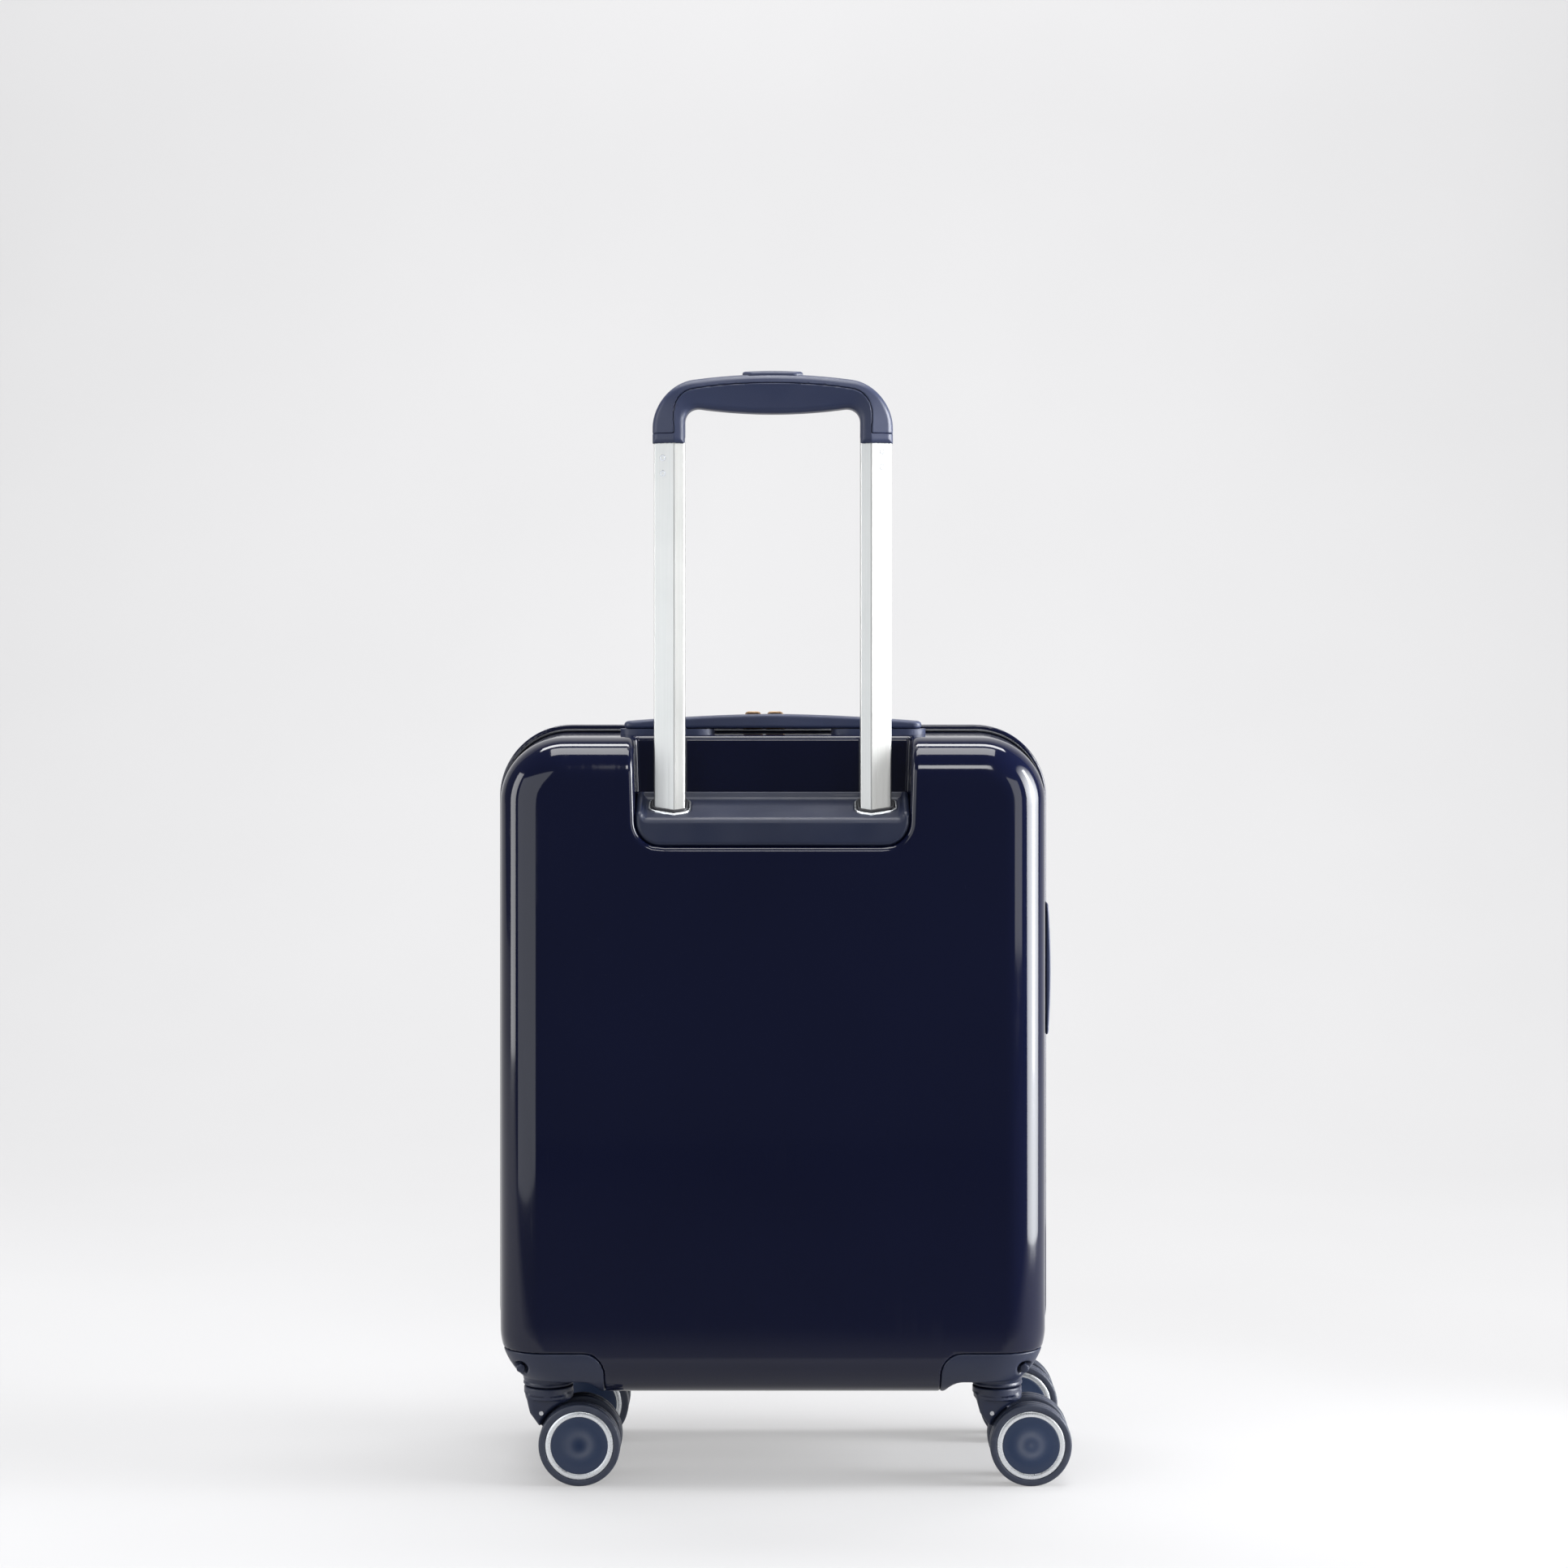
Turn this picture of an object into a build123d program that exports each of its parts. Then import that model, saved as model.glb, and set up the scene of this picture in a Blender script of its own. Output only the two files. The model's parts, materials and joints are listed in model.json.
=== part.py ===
from build123d import *
import os
from math import cos, radians, sin

# A cabin suitcase on four casters. +Z is up, the floor is z = 0, and the pull handle is on the -Y side.
# Lengths are millimetres. Across the case, places are given from its middle plane and then moved by CASE_X,
# because the resting casters all trail to +X and the model's origin is under the middle of its box.

# Case
RIM_HALF_WIDTH = 200.0
RIM_BOTTOM = 60.0
RIM_TOP = 537.0
RIM_OUT = 4.6
RIM_BACK, RIM_FRONT = -3.0, 4.0
SHELL_CORNER = 48.0
SHELL_DRAFT = 2.0
FACE_FILLET = 28.0
WALL = 2.2
BACK_FACE, BACK_EDGE = -100.0, -14.0
FRONT_FACE, FRONT_EDGE = 100.0, -8.0
SHELL_HALF_WIDTH = RIM_HALF_WIDTH - RIM_OUT
CASE_Z = (RIM_TOP + RIM_BOTTOM) / 2
SHELL_HALF_HEIGHT = (RIM_TOP - RIM_BOTTOM) / 2 - RIM_OUT
SHELL_TOP = CASE_Z + SHELL_HALF_HEIGHT

# Zip
TAPE_THICK = 1.4
ZIP_Y = -9.0
ZIP_GAP = 0.4
BACK_TAPE_EDGE = -20.0
SLIDER_TOP_GAP = 0.5

# Casters
SWIVEL_X, SWIVEL_Y = 160.0, 60.0
WHEEL_RADIUS = 29.0
TRAIL = 23.0
WHEEL_INNER, WHEEL_OUTER = 7.0, 20.0
HUB_RADIUS = 24.3
RING_INNER, RING_OUTER = 20.2, 24.1
AXLE_RADIUS = 3.0
KINGPIN_RADIUS = 4.0
RUNNING_CLEARANCE = 0.05
CASE_X = (RIM_HALF_WIDTH - (SWIVEL_X + TRAIL + WHEEL_RADIUS)) / 2

# Corner housings
HOUSING_INNER_X = 118.4
HOUSING_TOP = 98.4
HOUSING_NEAR_Y = 24.0
HOUSING_WALL, HOUSING_CORNER = 3.0, 15.0
ARCH_X, ARCH_Z, ARCH_CORNER = 138.0, 79.0, 8.0
NECK_RADIUS, NECK_BOTTOM = 18.0, 69.0
PIN_BOSS_RADIUS = 9.0
BOLT_X, BOLT_Z, BOLT_HEAD_Y = 177.0, 85.0, 93.0
BOLT_RADIUS, BOLT_HEAD_RADIUS, BOLT_HEAD_HEIGHT, DISH_RADIUS = 2.5, 5.0, 3.5, 7.0
KINGPIN_BOTTOM, KINGPIN_TOP = 46.0, 92.0
GROOVE_BOTTOM, GROOVE_HEIGHT, GROOVE_RADIUS = 48.7, 3.2, 2.7

# Forks
DISC_RADIUS, DISC_BOTTOM, DISC_TOP = 17.5, 62.5, 68.0
FORK_HALF_WIDTH = 13.0
FORK_PIN_X, FORK_PIN_Z, FORK_PIN_RADIUS = -4.3, 50.3, 1.5
AXLE_HALF_LENGTH = 17.0
AXLE_BOSS_RADIUS = 9.0

# Handle pocket and tray
POCKET_DEEP_Y = -58.0
POCKET_FLOOR = 454.5
POCKET_HALF_WIDTH = 96.0
POCKET_TOP_HALF_WIDTH = 99.5
POCKET_CORNER = 17.0
TRAY_SLOPE = 19.0

# Pull handle
TUBE_X, TUBE_Y = 73.0, -78.0
TUBE_HALF_WIDTH, TUBE_HALF_DEPTH = 11.0, 9.0
TUBE_WALL = 1.2
TUBE_RIDGE_X, TUBE_OUTBOARD_Y, TUBE_INBOARD_Y = -3.3, -3.5, -6.35
OUTER_TUBE_BOTTOM, OUTER_TUBE_TOP = 104.0, 464.0
MID_TUBE_BOTTOM, MID_TUBE_TOP = 120.0, 472.0
INNER_TUBE_BOTTOM, INNER_TUBE_TOP = 404.0, 745.0
TRAY_AT_TUBE = 480.9

GRIP_HALF_WIDTH, GRIP_DEPTH = 85.0, 26.0
GRIP_BOTTOM, GRIP_SHOULDER, GRIP_CROWN = 738.0, 781.0, 787.0
GRIP_UNDERSIDE = 760.0
GRIP_LEG_INNER = 61.5
GRIP_COVER_THICK = 10.0
BUTTON_HALF_LENGTH, BUTTON_TOP = 21.2, 790.0
BUTTON_TRAVEL = 3.5
YOKE_BOTTOM, YOKE_TOP = 768.5, 771.5

# Carry handles
CARRY_Y = -35.0
CARRY_HALF_LENGTH, CARRY_HALF_WIDTH = 107.0, 12.0
CARRY_END_TOP, CARRY_CROWN = 540.2, 545.6
CARRY_END_UNDER, CARRY_MIDDLE_UNDER = 535.3, 535.9
CARRY_PEG_X, CARRY_PEG_RADIUS, CARRY_PEG_BOTTOM = 95.0, 4.0, 512.0
CARRY_SOCKET_RADIUS, CARRY_SOCKET_BOTTOM = 6.8, 497.0
SIDE_HANDLE_Z, SIDE_HANDLE_HALF, SIDE_HANDLE_HALF_WIDTH = 362.5, 47.5, 11.0
SIDE_HANDLE_INNER_X, SIDE_HANDLE_END_X, SIDE_HANDLE_CROWN_X = 196.6, 198.0, 199.9
SIDE_PEG_OFFSET, SIDE_PEG_RADIUS, SIDE_PEG_INNER_X = 38.0, 3.0, 187.0
SIDE_SOCKET_RADIUS, SIDE_SOCKET_INNER_X = 5.0, 184.0

SIDES = (-1, 1)
os.makedirs("parts", exist_ok=True)


def save(piece, name):
    """Label a finished piece and write it as its own file."""
    piece.label = name
    export_step(piece, f"parts/{name}.step")


def level(z):
    """The horizontal plane at a height, with its origin on the case's middle plane."""
    return Plane(origin=(CASE_X, 0, z), x_dir=(1, 0, 0), z_dir=(0, 0, 1))


def backward(y):
    """The upright plane across the case that looks out of the back face."""
    return Plane(origin=(CASE_X, y, 0), x_dir=(1, 0, 0), z_dir=(0, -1, 0))


def forward(y):
    """The upright plane across the case that looks out of the front face. Its own x runs to -X."""
    return Plane(origin=(CASE_X, y, 0), x_dir=(-1, 0, 0), z_dir=(0, 1, 0))


def sideways(x):
    """The upright plane along the case's depth. Its own x runs to +Y."""
    return Plane(origin=(CASE_X + x, 0, 0), x_dir=(0, 1, 0), z_dir=(1, 0, 0))


def case_outline(grow):
    """The rounded outline of the case at its parting, grown all round. For use inside a sketch."""
    with Locations((0, CASE_Z)):
        RectangleRounded(
            2 * (SHELL_HALF_WIDTH + grow), 2 * (SHELL_HALF_HEIGHT + grow), SHELL_CORNER + grow
        )


def half_block(plane, depth, inset):
    """One half of the case as a drafted solid block with a rounded outer face, drawn in all round."""
    with BuildPart() as block:
        with BuildSketch(plane):
            case_outline(-inset)
        extrude(amount=depth - inset, taper=SHELL_DRAFT)
        outer_face = block.faces().sort_by(Axis(plane.origin, plane.z_dir))[-1]
        fillet(outer_face.edges(), radius=FACE_FILLET - inset)
    return block.part


def corner_block(side, end, grow):
    """The corner of the case that a wheel housing fills: side -1 is left, end -1 is the back half."""
    inner_x, top, near, reach = HOUSING_INNER_X - grow, HOUSING_TOP + grow, HOUSING_NEAR_Y - grow, 110.0
    with BuildPart() as block:
        with BuildSketch(backward(end * near)) as outline:
            with BuildLine():
                Polyline(
                    (side * inner_x, 40), (side * inner_x, top), (side * 215, top), (side * 215, 40),
                    close=True,
                )
            make_face()
            top_corners = outline.vertices().group_by(Axis.Y)[-1].sort_by(Axis.X)
            fillet(top_corners[-1 if side < 0 else 0], radius=HOUSING_CORNER + grow)
        extrude(amount=-end * (reach - near))
    return block.part


def pocket_block(grow):
    """The handle pocket's space, open to the back and the top, grown into the wall around it."""
    floor = POCKET_FLOOR - grow
    with BuildPart() as block:
        with BuildSketch(backward(POCKET_DEEP_Y + grow)) as outline:
            low, high = POCKET_HALF_WIDTH + grow, POCKET_TOP_HALF_WIDTH + grow
            with BuildLine():
                Polyline((-low, floor), (low, floor), (high, 560), (-high, 560), close=True)
            make_face()
            fillet(outline.vertices().group_by(Axis.Y)[0], radius=POCKET_CORNER + grow)
        extrude(amount=60 + grow)
    return block.part


def tube_outline(side, grow):
    """The section of one pull tube: flat in front, with a low ridge to the back, inboard of its middle."""
    half, depth = TUBE_HALF_WIDTH, TUBE_HALF_DEPTH
    with BuildSketch(Plane.XY, mode=Mode.PRIVATE) as outline:
        with BuildLine():
            Polyline(
                (side * (TUBE_X - half), TUBE_Y + depth),
                (side * (TUBE_X + half), TUBE_Y + depth),
                (side * (TUBE_X + half), TUBE_Y + TUBE_OUTBOARD_Y),
                (side * (TUBE_X + TUBE_RIDGE_X), TUBE_Y - depth),
                (side * (TUBE_X - half), TUBE_Y + TUBE_INBOARD_Y),
                close=True,
            )
        make_face()
        fillet(outline.vertices(), radius=1.6)
        if grow:
            offset(amount=grow)
    return outline.sketch


def tube_pair(low, high, outer, inner):
    """Both pull tubes of one size, from one height to another, with their outer and inner outlines grown."""
    with BuildPart() as pair:
        for side in SIDES:
            outside, inside = tube_outline(side, outer), tube_outline(side, inner)
            with BuildSketch(level(low)):
                add(outside)
                add(inside, mode=Mode.SUBTRACT)
            extrude(amount=high - low)
    return pair.part


slope = radians(TRAY_SLOPE)
TRAY_PLANE = Plane(
    origin=(CASE_X, TUBE_Y, TRAY_AT_TUBE), x_dir=(1, 0, 0), z_dir=(0, -sin(slope), cos(slope))
)

# Back shell: a deep pan with the handle pocket and two wheel corners pressed into it.
back_solid = half_block(backward(BACK_EDGE), BACK_EDGE - BACK_FACE, 0)
back_space = half_block(backward(BACK_EDGE + 1), BACK_EDGE + 1 - BACK_FACE, WALL)
back_space -= pocket_block(WALL)
for side in SIDES:
    back_space -= corner_block(side, -1, WALL)

with BuildPart() as back_shell:
    add(back_solid)
    add(back_space, mode=Mode.SUBTRACT)
    add(pocket_block(0), mode=Mode.SUBTRACT)
    for side in SIDES:
        add(corner_block(side, -1, 0), mode=Mode.SUBTRACT)
    with BuildSketch(level(POCKET_FLOOR - 10)):
        for side in SIDES:
            with Locations((side * TUBE_X, TUBE_Y)):
                Rectangle(31, 27)
    extrude(amount=20, mode=Mode.SUBTRACT)
    # holes for the carry handle's sockets, the side handle's sockets and the housing bolts
    with BuildSketch(level(500)):
        with Locations((-CARRY_PEG_X, CARRY_Y), (CARRY_PEG_X, CARRY_Y)):
            Circle(CARRY_SOCKET_RADIUS + 0.2)
    extrude(amount=60, mode=Mode.SUBTRACT)
    with BuildSketch(sideways(170)):
        for end in SIDES:
            with Locations((CARRY_Y, SIDE_HANDLE_Z + end * SIDE_PEG_OFFSET)):
                Circle(SIDE_SOCKET_RADIUS)
    extrude(amount=40, mode=Mode.SUBTRACT)
    with BuildSketch(backward(0)):
        with Locations((-BOLT_X, BOLT_Z), (BOLT_X, BOLT_Z)):
            Circle(BOLT_RADIUS)
    extrude(amount=60, mode=Mode.SUBTRACT)
save(back_shell.part, "back_shell")

# Front shell.
front_solid = half_block(forward(FRONT_EDGE), FRONT_FACE - FRONT_EDGE, 0)
front_space = half_block(forward(FRONT_EDGE - 1), FRONT_FACE - FRONT_EDGE + 1, WALL)
for side in SIDES:
    front_space -= corner_block(side, 1, WALL)

with BuildPart() as front_shell:
    add(front_solid)
    add(front_space, mode=Mode.SUBTRACT)
    for side in SIDES:
        add(corner_block(side, 1, 0), mode=Mode.SUBTRACT)
    with BuildSketch(forward(0)):
        with Locations((-BOLT_X, BOLT_Z), (BOLT_X, BOLT_Z)):
            Circle(BOLT_RADIUS)
    extrude(amount=60, mode=Mode.SUBTRACT)
save(front_shell.part, "front_shell")

# Rim bead: the rounded band round the front shell's edge that stands over the zip.
with BuildPart() as rim_bead:
    with BuildSketch(forward(RIM_BACK)):
        case_outline(RIM_OUT)
    extrude(amount=RIM_FRONT - RIM_BACK)
    fillet(rim_bead.faces().filter_by(Axis.Y).edges(), radius=1.5)
    add(front_solid, mode=Mode.SUBTRACT)
save(rim_bead.part, "rim_bead")

# Zip tapes: one band round each half, with a small gap where the teeth meet.
for name, start, stop in (
    ("back_zip_tape", BACK_TAPE_EDGE, ZIP_Y - ZIP_GAP / 2),
    ("front_zip_tape", ZIP_Y + ZIP_GAP / 2, RIM_BACK),
):
    with BuildPart() as zip_tape:
        with BuildSketch(forward(start)):
            case_outline(TAPE_THICK)
            with Locations((0, CASE_Z)):
                RectangleRounded(
                    2 * SHELL_HALF_WIDTH, 2 * SHELL_HALF_HEIGHT, SHELL_CORNER, mode=Mode.SUBTRACT
                )
        extrude(amount=stop - start)
    save(zip_tape.part, name)

# Zip sliders with a crown over each, and the pulls that hang on the crowns.
SLIDER_BASE = SHELL_TOP + TAPE_THICK + SLIDER_TOP_GAP
SLIDER_LENGTH, SLIDER_BACK, SLIDER_WIDTH = 14.4, 5.2, 11.4
CROWN_TOP, CROWN_LENGTH, CROWN_WIDTH = 547.0, 12.4, 3.2
PULL_LENGTH, PULL_WIDTH, PULL_THICK, PULL_PIVOT_Z = 34.0, 9.0, 1.8, 542.4
for side, word, nose in ((-1, "left", -7.4), (1, "right", -5.6)):
    tail = nose + side * SLIDER_LENGTH
    middle = (nose + tail) / 2
    with BuildPart() as zip_slider:
        with BuildSketch(backward(ZIP_Y + SLIDER_BACK)):
            with BuildLine():
                Polyline(
                    (nose, SLIDER_BASE), (nose, SLIDER_BASE + 3), (nose + side * 2, SLIDER_BASE + 4.6),
                    (tail - side * 2, SLIDER_BASE + 4.6), (tail, SLIDER_BASE + 3), (tail, SLIDER_BASE),
                    close=True,
                )
            make_face()
        extrude(amount=SLIDER_WIDTH)
        with BuildSketch(backward(ZIP_Y + CROWN_WIDTH / 2)):
            with Locations((middle, PULL_PIVOT_Z - 1.5)):
                RectangleRounded(CROWN_LENGTH, 2 * (CROWN_TOP - PULL_PIVOT_Z + 1.5), 3)
            with Locations((middle, PULL_PIVOT_Z)):
                SlotOverall(8.8, 4.6, mode=Mode.SUBTRACT)
        extrude(amount=CROWN_WIDTH)
    save(zip_slider.part, f"zip_slider_{word}")
    with BuildPart() as zip_pull:
        with BuildSketch(level(PULL_PIVOT_Z - PULL_THICK / 2)):
            with Locations((middle + side * PULL_LENGTH / 2, ZIP_Y)):
                RectangleRounded(PULL_LENGTH + 3.2, PULL_WIDTH, 2.5)
            with Locations((middle + side * 4.4, ZIP_Y)):
                RectangleRounded(8.8, CROWN_WIDTH + 1, 1, mode=Mode.SUBTRACT)
        extrude(amount=PULL_THICK)
    save(zip_pull.part, f"zip_pull_{word}")

# Fabric hinge and lining panels.
with BuildPart() as fabric_hinge:
    with BuildSketch(backward(-22)):
        with Locations((-SHELL_HALF_WIDTH + WALL + 1.6, CASE_Z)):
            Rectangle(1.2, 340)
    extrude(amount=16)
save(fabric_hinge.part, "fabric_hinge")

with BuildPart() as back_lining:
    with BuildSketch(backward(-60.6)):
        with BuildLine():
            Polyline((-188, 104), (-112, 104), (-112, 70), (112, 70), (112, 104), (188, 104),
                     (188, 449), (-188, 449), close=True)
        make_face()
    extrude(amount=1.2)
save(back_lining.part, "back_lining")

with BuildPart() as front_lining:
    with BuildSketch(forward(FRONT_FACE - WALL - 1.5)):
        with Locations((0, CASE_Z)):
            RectangleRounded(320, 390, 20)
    extrude(amount=1.3)
save(front_lining.part, "front_lining")

# Trolley housing: the sloped tray at the bottom of the pocket, with a sleeve hole for each tube.
with BuildPart() as trolley_housing:
    with BuildSketch(backward(POCKET_DEEP_Y)) as outline:
        with BuildLine():
            low, high = POCKET_HALF_WIDTH, POCKET_HALF_WIDTH + 0.8
            Polyline((-low, POCKET_FLOOR), (low, POCKET_FLOOR), (high, 500), (-high, 500), close=True)
        make_face()
        fillet(outline.vertices().group_by(Axis.Y)[0], radius=POCKET_CORNER)
    extrude(amount=POCKET_DEEP_Y - BACK_FACE)
    split(bisect_by=TRAY_PLANE, keep=Keep.BOTTOM)
    lip = trolley_housing.edges().filter_by(Axis.X).group_by(Axis.Y)[0].sort_by(Axis.Z)[-1]
    fillet(lip, radius=5)
    with BuildSketch(sideways(-48)):
        with BuildLine():
            Polyline((-95, POCKET_FLOOR), (-61, POCKET_FLOOR), (-61, 482), (-95, 471), close=True)
        make_face()
    extrude(amount=96, mode=Mode.SUBTRACT)
    for side in SIDES:
        with BuildSketch(level(POCKET_FLOOR)):
            add(tube_outline(side, 4.2))
        extrude(amount=60, mode=Mode.SUBTRACT)
save(trolley_housing.part, "trolley_housing")

# Tube bezels: a silver ring on the slope round each tube, with a sleeve down into the tray.
flange = tube_pair(440, 520, 5.2, 4.2)
flange = split(flange, bisect_by=TRAY_PLANE.offset(1.2), keep=Keep.BOTTOM)
flange = split(flange, bisect_by=TRAY_PLANE, keep=Keep.TOP)
sleeves = tube_pair(OUTER_TUBE_TOP + 2, 520, 4.2, 2.6)
sleeves = split(sleeves, bisect_by=TRAY_PLANE.offset(1.2), keep=Keep.BOTTOM)
with BuildPart() as tube_bezels:
    add(sleeves)
    add(flange)
save(tube_bezels.part, "tube_bezels")

# Outer tubes, fixed in the shell, and the foot that ties their lower ends together.
outer_tubes = tube_pair(OUTER_TUBE_BOTTOM, OUTER_TUBE_TOP, 3.4, 2.0)
save(outer_tubes, "outer_tubes")

with BuildPart() as trolley_foot:
    with BuildSketch(level(92)):
        with Locations((0, TUBE_Y - 1)):
            RectangleRounded(184, 30, 4)
    extrude(amount=OUTER_TUBE_BOTTOM + 8 - 92)
    for side in SIDES:
        with BuildSketch(level(OUTER_TUBE_BOTTOM)):
            add(tube_outline(side, 3.4))
        extrude(amount=20, mode=Mode.SUBTRACT)
    with BuildSketch(level(96)):
        with Locations((0, TUBE_Y - 1)):
            Rectangle(96, 24)
    extrude(amount=20, mode=Mode.SUBTRACT)
save(trolley_foot.part, "trolley_foot")

# Middle tubes and the dark collars on their upper ends.
mid_tubes = tube_pair(MID_TUBE_BOTTOM, MID_TUBE_TOP, 1.7, 0.3)
save(mid_tubes, "mid_tubes")

collar_caps = tube_pair(MID_TUBE_TOP, 520, 2.3, 0.25)
collar_caps = split(collar_caps, bisect_by=TRAY_PLANE.offset(2.0), keep=Keep.BOTTOM)
with BuildPart() as mid_tube_collars:
    add(tube_pair(OUTER_TUBE_TOP + 2, MID_TUBE_TOP, 2.3, 1.7))
    add(collar_caps)
save(mid_tube_collars.part, "mid_tube_collars")

# Grip screws: two in the outboard facet of each inner tube, just under the grip. Their heads are sunk flush,
# so that they pass through the collars when the handle is pushed down.
FACET_ANGLE = 21.0
SCREW_X, SCREW_Y = TUBE_X + 4.6, TUBE_Y - 5.96
SCREW_HEIGHTS = {-1: (717.0, 728.0), 1: (721.6, 732.6)}
SCREW_HEAD_RADIUS, SCREW_HEAD_DEPTH, SCREW_RADIUS, SCREW_LENGTH = 2.5, 0.9, 1.2, 2.8
facet = radians(FACET_ANGLE)
with BuildPart() as grip_screws:
    for side in SIDES:
        for screw_z in SCREW_HEIGHTS[side]:
            seat = Plane(
                origin=(CASE_X + side * SCREW_X, SCREW_Y, screw_z),
                x_dir=(0, 0, 1),
                z_dir=(side * sin(facet), -cos(facet), 0),
            )
            with BuildSketch(seat):
                Circle(SCREW_HEAD_RADIUS)
            extrude(amount=-SCREW_HEAD_DEPTH)
            with BuildSketch(seat):
                Circle(SCREW_RADIUS)
            extrude(amount=-SCREW_LENGTH)
save(grip_screws.part, "grip_screws")

# Inner tubes.
with BuildPart() as inner_tubes:
    add(tube_pair(INNER_TUBE_BOTTOM, INNER_TUBE_TOP, 0, -TUBE_WALL))
    add(grip_screws.part, mode=Mode.SUBTRACT)
save(inner_tubes.part, "inner_tubes")

# Grip: an arched bar with two legs, split into a lower body and the cover over it.
with BuildPart() as grip_whole:
    with BuildSketch(backward(TUBE_Y + GRIP_DEPTH / 2)) as outline:
        with BuildLine():
            Line((-GRIP_HALF_WIDTH, GRIP_BOTTOM), (-GRIP_HALF_WIDTH, GRIP_SHOULDER))
            ThreePointArc(
                (-GRIP_HALF_WIDTH, GRIP_SHOULDER), (0, GRIP_CROWN), (GRIP_HALF_WIDTH, GRIP_SHOULDER)
            )
            Polyline(
                (GRIP_HALF_WIDTH, GRIP_SHOULDER), (GRIP_HALF_WIDTH, GRIP_BOTTOM),
                (GRIP_LEG_INNER, GRIP_BOTTOM), (GRIP_LEG_INNER, GRIP_UNDERSIDE),
                (-GRIP_LEG_INNER, GRIP_UNDERSIDE), (-GRIP_LEG_INNER, GRIP_BOTTOM),
                (-GRIP_HALF_WIDTH, GRIP_BOTTOM),
            )
        make_face()
        shoulders = outline.vertices().filter_by_position(Axis.Y, GRIP_SHOULDER - 1, GRIP_SHOULDER + 1)
        fillet(shoulders, radius=26)
        inner_corners = outline.vertices().filter_by_position(
            Axis.Y, GRIP_UNDERSIDE - 0.1, GRIP_UNDERSIDE + 0.1
        )
        fillet(inner_corners, radius=9)
    extrude(amount=GRIP_DEPTH)
    fillet(grip_whole.faces().filter_by(Axis.Y).edges(), radius=5)

with BuildPart() as grip_core:
    with BuildSketch(backward(TUBE_Y + GRIP_DEPTH / 2 + 1)) as outline:
        with BuildLine():
            inner_half = GRIP_HALF_WIDTH - GRIP_COVER_THICK
            Polyline(
                (-inner_half, GRIP_BOTTOM + 7), (-inner_half, GRIP_CROWN - GRIP_COVER_THICK - 3),
                (inner_half, GRIP_CROWN - GRIP_COVER_THICK - 3), (inner_half, GRIP_BOTTOM + 7),
                (GRIP_HALF_WIDTH + 5, GRIP_BOTTOM + 7), (GRIP_HALF_WIDTH + 5, GRIP_BOTTOM - 5),
                (-GRIP_HALF_WIDTH - 5, GRIP_BOTTOM - 5), (-GRIP_HALF_WIDTH - 5, GRIP_BOTTOM + 7),
                close=True,
            )
        make_face()
        top_corners = outline.vertices().group_by(Axis.Y)[-1]
        fillet(top_corners, radius=16)
    extrude(amount=GRIP_DEPTH + 2)

with BuildPart() as release_space:
    with BuildSketch(backward(TUBE_Y + 4.6)):
        with Locations((0, (YOKE_BOTTOM - BUTTON_TRAVEL - 0.5 + YOKE_TOP + 0.5) / 2)):
            Rectangle(154, YOKE_TOP - YOKE_BOTTOM + BUTTON_TRAVEL + 1)
    extrude(amount=9.2)
    with BuildSketch(level(772)):
        with Locations((0, TUBE_Y)):
            Rectangle(2 * BUTTON_HALF_LENGTH + 0.6, 12.6)
    extrude(amount=30)
    with BuildSketch(level(700)):
        with Locations((-TUBE_X, TUBE_Y), (TUBE_X, TUBE_Y)):
            Circle(3.6)
    extrude(amount=YOKE_BOTTOM - 700)

with BuildPart() as grip_body:
    add(grip_whole.part)
    add(grip_core.part, mode=Mode.INTERSECT)
    for side in SIDES:
        with BuildSketch(level(GRIP_BOTTOM - 1)):
            add(tube_outline(side, 0))
        extrude(amount=INNER_TUBE_TOP - GRIP_BOTTOM + 1, mode=Mode.SUBTRACT)
        with BuildSketch(level(INNER_TUBE_TOP - 37)):
            add(tube_outline(side, -TUBE_WALL))
        extrude(amount=37)
    add(release_space.part, mode=Mode.SUBTRACT)
    add(grip_screws.part, mode=Mode.SUBTRACT)
save(grip_body.part, "grip_body")

with BuildPart() as grip_cover:
    add(grip_whole.part)
    add(grip_core.part, mode=Mode.SUBTRACT)
    add(release_space.part, mode=Mode.SUBTRACT)
save(grip_cover.part, "grip_cover")

# Release: the button in the crown, and the yoke with a rod down each inner tube.
with BuildPart() as grip_button:
    with BuildSketch(backward(TUBE_Y + 6)) as outline:
        with BuildLine():
            Polyline(
                (-BUTTON_HALF_LENGTH, 776), (BUTTON_HALF_LENGTH, 776), (BUTTON_HALF_LENGTH, 787),
                (BUTTON_HALF_LENGTH - 5, BUTTON_TOP), (-BUTTON_HALF_LENGTH + 5, BUTTON_TOP),
                (-BUTTON_HALF_LENGTH, 787), close=True,
            )
        make_face()
    extrude(amount=12)
    fillet(grip_button.edges().group_by(Axis.Z)[-1], radius=1)
    with BuildSketch(level(YOKE_TOP)):
        with Locations((0, TUBE_Y)):
            Rectangle(20, 7)
    extrude(amount=776 - YOKE_TOP)
save(grip_button.part, "grip_button")

with BuildPart() as release_yoke:
    with BuildSketch(level(YOKE_BOTTOM)):
        with Locations((0, TUBE_Y)):
            RectangleRounded(2 * TUBE_X + 6, 7.6, 2)
    extrude(amount=YOKE_TOP - YOKE_BOTTOM)
    with BuildSketch(level(INNER_TUBE_BOTTOM + 8)):
        with Locations((-TUBE_X, TUBE_Y), (TUBE_X, TUBE_Y)):
            Circle(3.0)
    extrude(amount=YOKE_BOTTOM - INNER_TUBE_BOTTOM - 8)
save(release_yoke.part, "release_yoke")

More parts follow.
